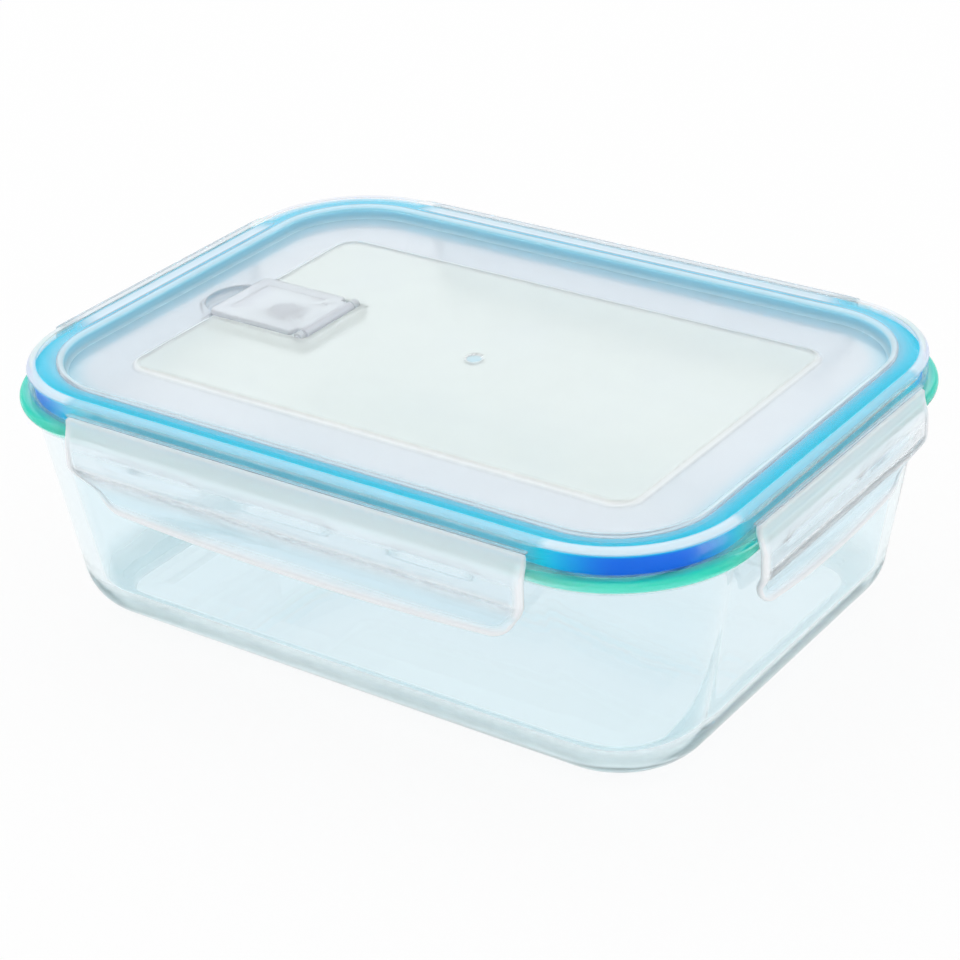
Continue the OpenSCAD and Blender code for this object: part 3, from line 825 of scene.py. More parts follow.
class CONTAINER_OT_dish(bpy.types.Operator):
    """Pressed glass dish: one section, carried round the corner centres, with a flat middle"""

    bl_idname = "container.dish"
    bl_label = "Glass dish"

    def execute(self, context):
        scene = context.scene
        size, layout = scene.container_dish, Layout(scene)
        section, edge, foot = self.section(size)
        spine, outward, corner = stations(layout.xs, layout.ys, arc_steps=24)
        glow = between(STRAIGHT_GLOW, 1, corner[:, None])
        shape = Shape()
        # The edge mark tints the flange and paints its green glow, less along the straights
        shape.wrap(carry(section, spine, outward), edge=edge * glow, foot=foot)
        centre_patch(shape, layout.xs, layout.ys, size.recess, up=False, edge=0, foot=0)
        centre_patch(shape, layout.xs, layout.ys, size.floor_t, up=True, edge=0, foot=0)
        material = finished("dish_glass", glass_finish, scene.container_finish)
        put(shape.build("glass_dish_pressed", material), "dish", "pressed_glass", "glass_dish")
        return {"FINISHED"}

    @classmethod
    def section(cls, size):
        """Underside, foot ring, round bottom edge, leaning wall, flange, mouth, inner wall and floor.

        The wall's two faces are parallel lines that lean by the draft, and each round is an arc that touches
        the lines beside it. After the points come the marks for the rim's painted glow and the foot's painted
        light.
        """
        lean, tilt, slant = math.tan(size.draft), math.degrees(size.draft), math.cos(size.draft)
        rim_z, edge_r = size.height - size.rim_t, size.rim_t / 2

        def wall(z):
            return size.rim_r - size.overhang - (rim_z - z) * lean

        foot = wall(size.bottom_r) - size.bottom_r / slant
        across = size.wall_t / slant
        inner_z = size.floor_t + size.inner_r
        inner = wall(inner_z) - across - size.inner_r / slant
        mouth_z = size.height - size.mouth_r
        mouth = wall(mouth_z) - across + size.mouth_r / slant
        under_z = rim_z - size.under_r
        neck = wall(under_z) + size.under_r / slant
        bottom = arc((foot, size.bottom_r), size.bottom_r, -90, -tilt, 20)
        under = arc((neck, under_z), size.under_r, 180 - tilt, 90, 6)
        round_edge = arc((size.rim_r - edge_r, size.height - edge_r), edge_r, -90, 90, 16)
        lip = arc((mouth, mouth_z), size.mouth_r, 90, 180 - tilt, 8)
        cup = arc((inner, inner_z), size.inner_r, -tilt, -90, 16)
        points = chain(
            line((0, size.recess), (foot - size.foot_w, size.recess)),
            line((foot - size.foot_w, size.recess), (foot, 0)),
            bottom,
            line(bottom[-1], under[0]),
            under,
            line(under[-1], round_edge[0]),
            round_edge,
            line(round_edge[-1], lip[0]),
            lip,
            line(lip[-1], cup[0]),
            cup,
            line(cup[-1], (0, size.floor_t)),
        )
        outside = points[:, 0] > inner
        # The foot mark paints pale light into the round bottom edge
        return points, cls.glow(size, points, rim_z), cls.painted_foot_mask(size, points, foot) * outside

    @staticmethod
    def glow(size, points, rim_z):
        """Mask of the painted green glow: 1 on the upper half of the flange's round edge, fading out beside
        it and below it.
        """
        width, fade, low, rise = 3.4 * MM, 1.6 * MM, 0.6 * MM, 1 * MM
        start_r, start_z = size.rim_r - width, rim_z + low
        return ramp(points[:, 0], start_r, start_r + fade) * ramp(points[:, 1], start_z, start_z + rise)

    @staticmethod
    def painted_foot_mask(size, points, foot):
        """Mask of the painted pale light: 1 at the edge that the dish stands on, fading out in towards the
        hollow and up the round edge.
        """
        inside, outside = 2 * MM, 1 * MM
        return ramp(points[:, 0], foot - inside, foot + outside) * ramp(points[:, 1], size.bottom_r, 0)


class CONTAINER_OT_seal(bpy.types.Operator):
    """Silicone seal ring: a flat pad with a hanging lip, carried round the lid's channel"""

    bl_idname = "container.seal"
    bl_label = "Seal ring"

    def execute(self, context):
        scene = context.scene
        lid, layout = scene.container_lid, Layout(scene)
        outer = lid.outer_r - lid.skirt_t - lid.seal_gap
        inner = channel_start(lid) + lid.seal_gap
        top = lid.top - lid.top_t - lid.seal_gap
        low = scene.container_dish.height + lid.seal_seat
        lip, end_z = inner + lid.seal_lip_w, lid.seal_lip_z
        end_r, notch_r, low_r, top_r = 0.9 * MM, 0.4 * MM, 0.7 * MM, 0.8 * MM
        section = rounded(
            [(inner, end_z), (lip, end_z), (lip, low), (outer, low), (outer, top), (inner, top)],
            [end_r, end_r, notch_r, low_r, top_r, top_r],
        )
        spine, outward, corner = stations(layout.xs, layout.ys, arc_steps=24)
        face_in, face_out, fade = outer - 1.2 * MM, outer - 0.2 * MM, 1 * MM
        face = ramp(section[:, 0], face_in, face_out) * ramp(section[:, 1], top, top - fade)
        shape = Shape()
        # Painted shading of the outer face: deeper blue at the corners, paler blue along the straights by the
        # ledges
        shape.wrap(carry(section, spine, outward), closed=True, deep=(2 * corner[:, None] - 1) * face)
        material = finished("blue_silicone", seal_finish, scene.container_finish)
        put(shape.build("seal_ring_silicone", material), "lid", "seal_silicone", "seal_ring")
        return {"FINISHED"}


class CONTAINER_OT_lid(bpy.types.Operator):
    """Lid moulding: edge with seal channel and hinge ledges, sunk panel with raised field, and the well"""

    bl_idname = "container.lid"
    bl_label = "Lid"

    def execute(self, context):
        scene = context.scene
        lid, vent, layout = scene.container_lid, scene.container_vent, Layout(scene)
        low, high = (vent.patch_x0, -vent.patch_y), (vent.patch_x1, vent.patch_y)
        shape = Shape()
        plain, ledged, panel = self.sections(lid, layout.lid_rs)
        spine, outward, corner = stations(layout.lid_xs, layout.lid_ys, arc_steps=20)
        ledge = self.ledges(spine, outward, scene.container_flap.short / 2 - lid.ledge_over)
        ring = carry(between(plain, ledged, ledge[:, None, None]), spine, outward)
        ring[..., 2] += panel * self.rise(lid, ring[..., 0], ring[..., 1])
        tone = panel * self.tone(lid, ring[..., 0], ring[..., 1])
        veil = self.veil(lid, plain, ledge, self.far_sides(outward, corner))
        veil = np.where(panel, self.panel_veil(tone), veil)
        # Painted light: the seal's blue painted in on the inner wall and the panel's margin
        tone = tone - self.painted_seal_shine(lid, plain)
        faces = quads(*ring.shape[:2], wrap_rows=True)
        shape.add(ring, beyond(ring, faces, low, high), flip=True, veil=veil, tone=tone)
        x, y = np.meshgrid(layout.lid_xs, layout.lid_ys, indexing="ij")
        tone = self.tone(lid, x, y)
        veil = self.panel_veil(tone)
        for base, up in ((lid.panel_z, True), (lid.panel_z - lid.panel_t, False)):
            middle = np.stack((x, y, base + self.rise(lid, x, y)), axis=-1)
            faces = beyond(middle, quads(*x.shape), low, high)
            shape.add(middle, faces, flip=not up, veil=veil, tone=tone)
        well = self.well(lid, vent, self.patch_edge(layout, vent))
        tone = self.field(lid, well[..., 0], well[..., 1])
        shape.wrap(well, flip=True, veil=PANEL_VEIL, tone=tone)
        for side in (-1, 1):
            shape.wrap(self.cheek(vent, side), veil=PANEL_VEIL, tone=CHEEK_TONE)
        put(shape.build("lid_moulding", lid_material(scene)), "lid", "lid_plastic", "lid_shell")
        return {"FINISHED"}

    @staticmethod
    def far_sides(outward, corner):
        """1 along the back and left sides, fading out before their corners: where the lid's edge carries a
        painted sheen.
        """
        return ease(1 - 2 * corner) * np.any(outward * (-1, 1) > 0.5, axis=1)

    @staticmethod
    def veil(lid, section, ledge, far):
        """How milky each point of the edge looks: clear over the seal, more on the inner and outer edges.

        Along the far sides a painted sheen, a milky band, also runs over the seal's middle, and the outer
        edge by the ledges keeps its full veil.
        """
        r, z = section.T
        inner = channel_start(lid)
        brim = lid.outer_r - lid.brim_w
        on_top = z > lid.top - MERGE
        blur, low, fade = 0.5 * MM, 1 * MM, 0.8 * MM
        fading = STRIP_VEIL * np.clip((brim - r) / (brim - inner), 0, 1) * on_top
        wall = np.maximum(1 - ramp(r, inner - blur, inner + blur), fading)
        wall = wall * between(WALL_VEIL, INNER_EDGE_VEIL, ramp(z, lid.top - low, lid.top - low + blur))
        edge = ramp(r, brim, brim + blur) * ramp(z, lid.top - lid.edge_r, lid.top - lid.edge_r + fade)
        edge = edge * between(EDGE_VEIL, LEDGE_VEIL, (ledge * (1 - far))[:, None])
        band_in, band_out = inner + 0.8 * MM, brim - 0.4 * MM
        band = ramp(r, band_in, band_in + fade) * ramp(r, band_out, band_out - fade) * on_top
        return wall + edge + FAR_PAINTED_SHEEN * far[:, None] * band

    @staticmethod
    def painted_seal_shine(lid, section):
        """How much of the seal's blue is painted in as shine: most on the inner wall, fading out over the
        panel.
        """
        r, z = section.T
        low, rise, drop = 0.55, 0.3, 0.5
        channel = channel_start(lid)
        panel_r, blur = channel - lid.inner_t, 0.6 * MM
        edge_z = lid.top - 0.8 * MM
        near = ramp(r, panel_r - lid.painted_shine_w, panel_r) * ramp(r, channel, channel - blur)
        return near * (low + rise * ramp(z, lid.panel_z, edge_z) - drop * ramp(z, edge_z, edge_z + blur))

    @staticmethod
    def panel_veil(tone):
        """Milkiness of the panel: more on the slope round the raised field, where the tone is near a half."""
        return between(PANEL_VEIL, SLOPE_VEIL, np.clip(4 * tone * (1 - tone), 0, 1))

    @staticmethod
    def field(lid, x, y):
        """1 on the raised field and 0 outside it, with a smooth slope between."""
        out = np.hypot(np.maximum(np.abs(x) - lid.field_x, 0), np.maximum(np.abs(y) - lid.field_y, 0))
        return 1 - ramp(out, lid.field_r - lid.field_slope, lid.field_r)

    @staticmethod
    def dimple(lid, x, y):
        """1 in the dimple at the middle and 0 outside it, with a slope about its radius."""
        inside, outside = 0.8, 1.1
        return 1 - ramp(np.hypot(x, y) / lid.dimple_r, inside, outside)

    @classmethod
    def rise(cls, lid, x, y):
        """Height above the panel: the raised field with its slope, less the dimple in the middle."""
        return lid.field_rise * cls.field(lid, x, y) - lid.dimple_d * cls.dimple(lid, x, y)

    @classmethod
    def tone(cls, lid, x, y):
        """Shade of the panel: 1 on the raised field, 0 round it, and a little of the seal's blue painted into
        the dimple.
        """
        return cls.field(lid, x, y) + DIMPLE_PAINTED_SHINE * cls.dimple(lid, x, y)

    @staticmethod
    def ledges(spine, outward, inset):
        """1 on the straight sides, where the hinge ledges run, with rounded ends, and 0 at the corners."""
        end = 1.2 * MM
        half = np.abs(spine).max(axis=0)
        along = np.where(np.abs(outward[:, 0]) > np.abs(outward[:, 1]), 1, 0)
        from_end = (half[along] - inset) - np.abs(np.take_along_axis(spine, along[:, None], 1)[:, 0])
        return np.where(np.abs(outward).min(axis=1) > MERGE, 0.0, ease(from_end / end))

    @staticmethod
    def sections(lid, rs):
        """The lid's edge without and with a hinge ledge, point for point, and true for each panel point.

        Both run along the panel's top, over the edge, down the skirt, through the channel and back along the
        underside. Rounds are arcs of the root, tip, lip and edge radii.
        """
        channel_in, channel_out = channel_start(lid), lid.outer_r - lid.skirt_t
        panel_r = channel_in - lid.inner_t
        ceiling, under = lid.top - lid.top_t, lid.panel_z - lid.panel_t
        root, tip, lip, gap = 0.8 * MM, 0.45 * MM, 0.5 * MM, 0.1 * MM
        start = math.degrees(math.asin((lid.ledge_top - lid.top + lid.edge_r) / lid.edge_r))
        edge = (lid.outer_r - lid.edge_r, lid.top - lid.edge_r)
        inner_edge = (panel_r + lid.inner_edge_r, lid.top - lid.inner_edge_r)
        brim = lid.outer_r - lid.brim_w
        turn_out = arc(edge, lid.edge_r, 90, start, 6)
        top = chain(
            pairs(rs, lid.panel_z),
            line((rs[-1], lid.panel_z), (panel_r - root, lid.panel_z)),
            arc((panel_r - root, lid.panel_z + root), root, -90, 0, 6),
            line((panel_r, lid.panel_z + root), (panel_r, inner_edge[1])),
            arc(inner_edge, lid.inner_edge_r, 180, 90, 6),
            line((inner_edge[0], lid.top), (channel_in, lid.top)),
            pairs(np.linspace(channel_in, brim, 14), lid.top),
            line((brim, lid.top), (edge[0], lid.top), support=0.5 * MM),
            turn_out,
        )
        ledge_r = lid.ledge_r - lip
        ledged = np.vstack((
            line(turn_out[-1], (ledge_r, lid.ledge_top)),
            arc((ledge_r, lid.ledge_top - lip), lip, 90, 0, 5),
            line((lid.ledge_r, lid.ledge_top - lip), (lid.ledge_r, lid.ledge_low + lip)),
            arc((ledge_r, lid.ledge_low + lip), lip, 0, -90, 5),
            line((ledge_r, lid.ledge_low), (lid.outer_r, lid.ledge_low)),
        ))
        straight = 70
        way = np.linspace(start, -straight, len(ledged))
        turn, fall = np.radians(np.maximum(way, 0)), np.minimum(way, 0) / straight
        plain = pairs(
            edge[0] + lid.edge_r * np.cos(turn),
            edge[1] + lid.edge_r * np.sin(turn) + (edge[1] - lid.ledge_low) * fall,
        )
        below = chain(
            line((lid.outer_r, lid.ledge_low - gap), (lid.outer_r, lid.skirt_z + tip)),
            arc((lid.outer_r - tip, lid.skirt_z + tip), tip, 0, -90, 5),
            arc((channel_out + tip, lid.skirt_z + tip), tip, -90, -180, 5),
            line((channel_out, lid.skirt_z + tip), (channel_out, ceiling - tip)),
            arc((channel_out - tip, ceiling - tip), tip, 0, 90, 5),
            line((channel_out - tip, ceiling), (channel_in + tip, ceiling)),
            arc((channel_in + tip, ceiling - tip), tip, 90, 180, 5),
            line((channel_in, ceiling - tip), (channel_in, lid.plug_z + tip)),
            arc((channel_in - tip, lid.plug_z + tip), tip, 0, -90, 5),
            arc((panel_r + tip, lid.plug_z + tip), tip, -90, -180, 5),
            line((panel_r, lid.plug_z + tip), (panel_r, under - root)),
            arc((panel_r - root, under - root), root, 0, 90, 6),
            line((panel_r - root, under), (rs[-1], under)),
            pairs(rs[::-1], under),
        )
        panel = np.concatenate((
            top[:, 0] < panel_r - root,
            np.zeros(len(ledged), bool),
            (below[:, 0] < panel_r - root) & (below[:, 1] > under - MERGE),
        ))
        return np.vstack((top, plain, below)), np.vstack((top, ledged, below)), panel

    @staticmethod
    def patch_edge(layout, vent):
        """Points anticlockwise round the rectangle that the well's patch fills, on the panel's grid lines."""
        xs = np.union1d(np.round(-layout.half_x - layout.lid_rs, 8), layout.lid_xs)
        xs = xs[xs < vent.patch_x1 + MERGE]
        xs = xs[np.concatenate(([True], np.diff(xs) > 10 * MERGE))]
        ys = layout.lid_ys[np.abs(layout.lid_ys) < vent.patch_y + MERGE]
        near, far = pairs(xs, ys[0]), pairs(xs[::-1], ys[-1])
        return np.vstack((near, pairs(xs[-1], ys)[1:], far[1:], pairs(xs[0], ys[::-1])[1:-1]))

    @classmethod
    def well(cls, lid, vent, edge):
        """The vent's well, from the panel's top over its rim, down to the hole and back along the underside.

        Each row goes round the hole's centre at a distance along every ray: the well's outline is the longer
        of a box with rounded corners and the finger scoop's circle.
        """
        way = edge - (vent.x, 0)
        reach = np.linalg.norm(way, axis=1)
        way = way / reach[:, None]
        box_power, join_power = 18, 40

        def outline(margin):
            box = box_reach(way, vent.well_x + margin, vent.well_y + margin, box_power)
            inward = (vent.scoop_x - vent.x) * way[:, 0]
            square = inward**2 - (vent.scoop_x - vent.x) ** 2 + (vent.scoop_r + margin) ** 2
            scoop = np.where((inward > 0) & (square > 0), inward + np.sqrt(np.maximum(square, 0)), 0)
            return longer(box, scoop, join_power)

        def on_panel(out, base):
            return out, base + cls.rise(lid, vent.x + out * way[:, 0], out * way[:, 1])

        soft, root, support = 0.4 * MM, 0.7 * MM, 0.1 * MM
        top, under = lid.panel_z, lid.panel_z - lid.panel_t
        floor, bottom = vent.well_z, vent.well_z - vent.well_t
        brim, wall, foot = outline(soft), outline(0), outline(-root)
        skirt, cup, cup_foot = (outline(vent.well_t + margin) for margin in (soft, 0, -root))
        brim_z, skirt_z = on_panel(brim, top)[1], on_panel(skirt, under)[1]
        hole, hole_edge = vent.hole_r, vent.hole_r + soft
        rows = [on_panel(between(reach, brim, t), top) for t in (0, 0.35, 0.7, 0.92)]
        rows += over_edge(brim, brim_z, wall, brim_z - soft)
        rows += [(wall, floor + root + support)]
        rows += into_corner(wall, floor + root, foot, floor)
        rows += [(between(foot, hole_edge, t), floor) for t in (0.05, 0.4, 0.75, 0.97)]
        rows += over_edge(hole_edge, floor, hole, floor - soft)
        rows += into_corner(hole, bottom + soft, hole_edge, bottom)
        rows += [(between(hole_edge, cup_foot, t), bottom) for t in (0.03, 0.35, 0.7, 0.97)]
        rows += over_edge(cup_foot, bottom, cup, bottom + root)
        rows += [(cup, skirt_z - soft - support)]
        rows += into_corner(cup, skirt_z - soft, skirt, skirt_z)
        rows += [on_panel(between(skirt, reach, t), under) for t in (0.1, 0.5, 1)]
        return star(vent.x, way, rows)

    @staticmethod
    def cheek(vent, side):
        """One hinge cheek: an upright block with a round top about the hinge's axis."""
        gap, margin, soft = 0.05 * MM, 0.5 * MM, 0.3 * MM
        back, front = vent.axis_x - vent.barrel_r - margin, vent.x + vent.well_x - gap
        low = vent.well_z + gap
        outline = chain(
            line((back, low), (front, low)),
            line((front, low), (front, vent.axis_z)),
            arc((vent.axis_x, vent.axis_z), vent.barrel_r, 0, 180, 16),
            line((back, vent.axis_z - vent.barrel_r), (back, low)),
        )[:-1]
        block = rod(outline[::-1], vent.cheek_y, vent.well_y - gap, soft)
        return block[..., [0, 2, 1]] * (1, side, 1)


class FlapSheet:
    """One locking flap, laid out in (along the side, outside the corner centres, height).

    A sheet of even thickness with round edges: columns run up from its bowed lower edge and round corners to
    the hinge. The inner face is pushed in where stiffening ribs and catch ribs stand.
    """

    def __init__(self, size, half, catches):
        self.size, self.half, self.half_t = size, half, size.thick / 2
        self.flat, self.corner_r = half - size.corner_r, size.corner_r - self.half_t
        self.corner_z = size.low + size.bow + size.corner_r
        self.rib = (half - size.rib_inset - size.rib_w, half - size.rib_inset)
        stretch = (2 * self.rib[0] - (catches - 1) * size.catch_space) / catches
        starts = -self.rib[0] + np.arange(catches) * (stretch + size.catch_space)
        self.catches = list(zip(starts, starts + stretch))
        self.x = self.columns()
        self.low = self.lower_edge()
        self.z = self.heights()
        self.place = np.broadcast_to(self.x[:, None], self.z.shape)

    def columns(self):
        """Places of the columns along the flap: even ones, and more at both kinds of rib and the corners."""
        size, flat = self.size, self.flat
        even_step, least_step = 2.5 * MM, 0.02 * MM
        even = np.linspace(-flat, flat, int(2 * flat / even_step))
        fade = np.linspace(0, size.catch_fade, 6)
        catches = [np.concatenate((start + fade, end - fade)) for start, end in self.catches]
        start, end = self.rib
        ribs = np.array([start, start + size.rib_soft, end - size.rib_soft, end])
        bend = flat + self.corner_r * np.sin(np.radians(np.linspace(0, 90, 13)))
        x = np.unique(np.round(np.concatenate((even, *catches, ribs, -ribs, bend, -bend)), 8))
        return x[np.concatenate(([True], np.diff(x) > least_step))]

    def lower_edge(self):
        """Height of each column's foot: a bow, x squared, between the corners and a circle round each."""
        past = np.clip(np.abs(self.x) - self.flat, 0, self.corner_r)
        return np.where(
            np.abs(self.x) <= self.flat,
            self.size.low + self.half_t + self.size.bow * (self.x / self.flat) ** 2,
            self.corner_z - np.sqrt(np.maximum(self.corner_r**2 - past**2, 0)),
        )

    def heights(self):
        """Heights up each column: even shares from its foot to a level line, then the same for all."""
        catch_z, catch_low = self.size.catch_z, self.size.catch_z - self.size.catch_h - 0.3 * MM
        level, soft = self.corner_z + 0.6 * MM, 0.2 * MM
        upper = spread(
            (level, catch_low, 9),
            (catch_low, catch_z - soft, 8),
            (catch_z - soft, catch_z + soft, 4),
            (catch_z + soft, self.size.hinge_z, 18),
        )
        lower = self.low[:, None] + (level - self.low)[:, None] * np.linspace(0, 1, 25)[:-1]
        return np.concatenate((lower, np.broadcast_to(upper, (len(self.x), len(upper)))), axis=1)

    def face(self, z):
        """Outer face at a height: finger lip, step out to the widest part, and the turn in to the hinge."""
        size = self.size
        turn_in = size.wide_r - size.hinge_r - self.half_t
        return (
            size.lip_r
            + (size.wide_r - size.lip_r) * ramp(z, size.step_low, size.step_top)
            - turn_in * ramp(z, size.crown, size.hinge_z)
            + size.flare * (1 - ramp(z, size.low, size.step_low))
        )

    def sheet(self):
        """The sheet's middle, half its thickness inside the outer face, and the direction square to it."""
        size, z = self.size, self.z
        d = 0.02 * MM
        slope = (self.face(z + d) - self.face(np.maximum(z - d, size.low))) / (2 * d)
        norm = np.sqrt(1 + slope**2)
        normal = np.stack((0 * z, 1 / norm, -slope / norm), axis=-1)
        step = ramp(z, size.step_low, size.step_top)
        across = self.x[:, None] * (1 - size.taper / self.half * (1 - step))
        return np.stack((across, self.face(z), z), axis=-1) - self.half_t * normal, normal

    def inner(self, middle, normal):
        """The inner face: pushed in square to it by the stiffening ribs, and level by the catch ribs.

        A catch rib's underside slopes over two thirds of its height, and its top is level.
        """
        size, z, place, low = self.size, self.z, self.place, self.low[:, None]
        head, foot, soft, fade = 6 * MM, 3 * MM, 0.1 * MM, size.catch_fade
        start, end = self.rib
        side = np.abs(place)
        rib = ramp(side, start, start + size.rib_soft) * ramp(side, end, end - size.rib_soft)
        rib = rib * ramp(z, size.step_low, size.step_low - head) * ramp(z, low, low + foot)
        catch = sum(ramp(place, a, a + fade) * ramp(place, b, b - fade) for a, b in self.catches)
        slope = np.clip((z - size.catch_z + size.catch_h) / (size.catch_h * 2 / 3), 0, 1)
        inner = middle - (self.half_t + size.rib_d * rib)[..., None] * normal
        inner[..., 1] -= size.catch_d * catch * slope * ramp(z, size.catch_z + soft, size.catch_z - soft)
        return inner

    def edge(self, middle, normal):
        """The round edge: half circles from the outer face to the inner one, about the sheet's own border."""
        border, normal = middle.reshape(-1, 3)[self.loop], normal.reshape(-1, 3)[self.loop]
        out = np.cross(np.roll(border, -1, 0) - np.roll(border, 1, 0), normal)
        out /= np.linalg.norm(out, axis=1, keepdims=True)
        out *= np.sign(np.sum(out * (border - border.mean(axis=0))))
        turn = np.radians(np.linspace(90, -90, 9))[None, :, None]
        return border[:, None] + self.half_t * (np.sin(turn) * normal[:, None] + np.cos(turn) * out[:, None])

    @property
    def loop(self):
        """Numbers of the grid's border points, once round."""
        index = np.arange(self.z.size).reshape(self.z.shape)
        return np.concatenate((index[:, 0], index[-1, 1:], index[-2::-1, -1], index[0, -2:0:-1]))

    def tones(self):
        """How far each point is on the hinge's head, on the step and on the finger lip, from 0 to 1."""
        z, low, fade = self.z, self.size.step_low, 3 * MM
        head_z, head = self.size.catch_z - 1 * MM, 4 * MM
        step_z, step = low + 6 * MM, 4 * MM
        above = ramp(z, low - fade, low)
        return ramp(z, head_z, head_z + head), above * ramp(z, step_z, step_z - step), 1 - above

    def border(self):
        """1 along the edges and 0 further in than the border's width: the milky border, also a painted
        highlight. It fades out towards the hinge.
        """
        place, z = np.abs(self.place), self.z
        inside = np.where(
            (place > self.flat) & (z < self.corner_z),
            self.corner_r - np.hypot(place - self.flat, self.corner_z - z),
            np.minimum(self.flat + self.corner_r - place, z - self.low[:, None]),
        )
        return (1 - ease(inside / self.size.border)) * self.below_hinge(z)

    def below_hinge(self, z):
        """0 at the hinge's height and 1 well below it."""
        return ramp(z, self.size.hinge_z, self.size.hinge_z - 5 * MM)

    def patches(self):
        """Outer face, inner face and edge, each as (points, faces, flipped, veil, tone)."""
        middle, normal = self.sheet()
        head, step, lip = self.tones()
        loop = self.loop
        veil = SHEET_VEIL + (HINGE_VEIL - SHEET_VEIL) * head + (STEP_VEIL - SHEET_VEIL) * step
        veil = veil + (LIP_VEIL - SHEET_VEIL) * lip
        # Milky border and painted highlight along the flap's edges and round rim
        veil = between(veil, RIM_VEIL_AND_HIGHLIGHT, self.border())
        back_veil = np.full(veil.shape, SHEET_VEIL)
        border_z = middle[..., 2].ravel()[loop]
        edge_veil = np.maximum(between(SHEET_VEIL, RIM_VEIL_AND_HIGHLIGHT, self.below_hinge(border_z)), veil.ravel()[loop])
        veil.ravel()[loop] = edge_veil
        back_veil.ravel()[loop] = edge_veil
        rim = self.edge(middle, normal)
        faces = quads(*self.z.shape)
        return (
            # Painted light: the seal's blue painted on the step and the hinge's head
            (middle + self.half_t * normal, faces, False, veil, STEP_PAINTED_SHINE * step + HINGE_PAINTED_SHINE * head),
            (self.inner(middle, normal), faces, True, back_veil, 0.0),
            (rim, quads(*rim.shape[:2], wrap_rows=True), False, edge_veil[:, None], 0.0),
        )


class CONTAINER_OT_flaps(bpy.types.Operator):
    """Four locking flaps with rounded edges, catch ribs and stiffening ribs, each with its hinge film"""

    bl_idname = "container.flaps"
    bl_label = "Locking flaps"

    def execute(self, context):
        scene = context.scene
        size, layout = scene.container_flap, Layout(scene)
        for side, degrees in SIDES.items():
            short_side = degrees % 180 == 0
            half = (layout.half_y if short_side else layout.half_x) - size.short / 2
            base = layout.half_x if short_side else layout.half_y
            sheet = FlapSheet(size, half, catches=2 if short_side else 3)
            shape = Shape()
            for points, faces, flip, veil, tone in sheet.patches():
                shape.add(self.turned(points, degrees, base), faces, flip, veil=veil, tone=tone)
            piece = shape.build(f"flap_{side}_moulding", flap_material(scene))
            put(piece, f"{side}_lock", "flap_plastic", f"flap_{side}")
            self.film(scene, side, half, degrees, base)
        return {"FINISHED"}

    @staticmethod
    def turned(points, degrees, base):
        """Points (along, outside the corner centres, height) stood on one side of the lid."""
        c, s = round(math.cos(math.radians(degrees))), round(math.sin(math.radians(degrees)))
        along, out = points[..., 0], points[..., 1] + base
        return np.stack((c * out - s * along, s * out + c * along, points[..., 2]), axis=-1)

    @classmethod
    def film(cls, scene, side, half, degrees, base):
        """The thin film from a ledge out over its flap's bead: a flat strip between the two."""
        size, lid = scene.container_flap, scene.container_lid
        t, z, overlap = size.film_t / 2, size.film_z, 0.1 * MM
        outs = np.linspace(lid.ledge_r - overlap, size.hinge_r + overlap, 9)
        nose = arc((size.hinge_r + overlap, z), t, -60, 60, 4)
        outline = np.vstack((pairs(outs, z - t), nose, pairs(outs[::-1], z + t)))
        strip = rod(outline, -half, half, soft=0.1 * MM, steps=2)[..., [2, 0, 1]]
        shape = Shape()
        shape.wrap(cls.turned(strip, degrees, base), veil=SHEET_VEIL)
        piece = shape.build(f"film_{side}_strip", flap_material(scene))
        ends = cls.turned(np.array([[0, lid.ledge_r, z], [0, size.hinge_r, z]]), degrees, base)
        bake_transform(piece)
        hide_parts(f"film_{side}")


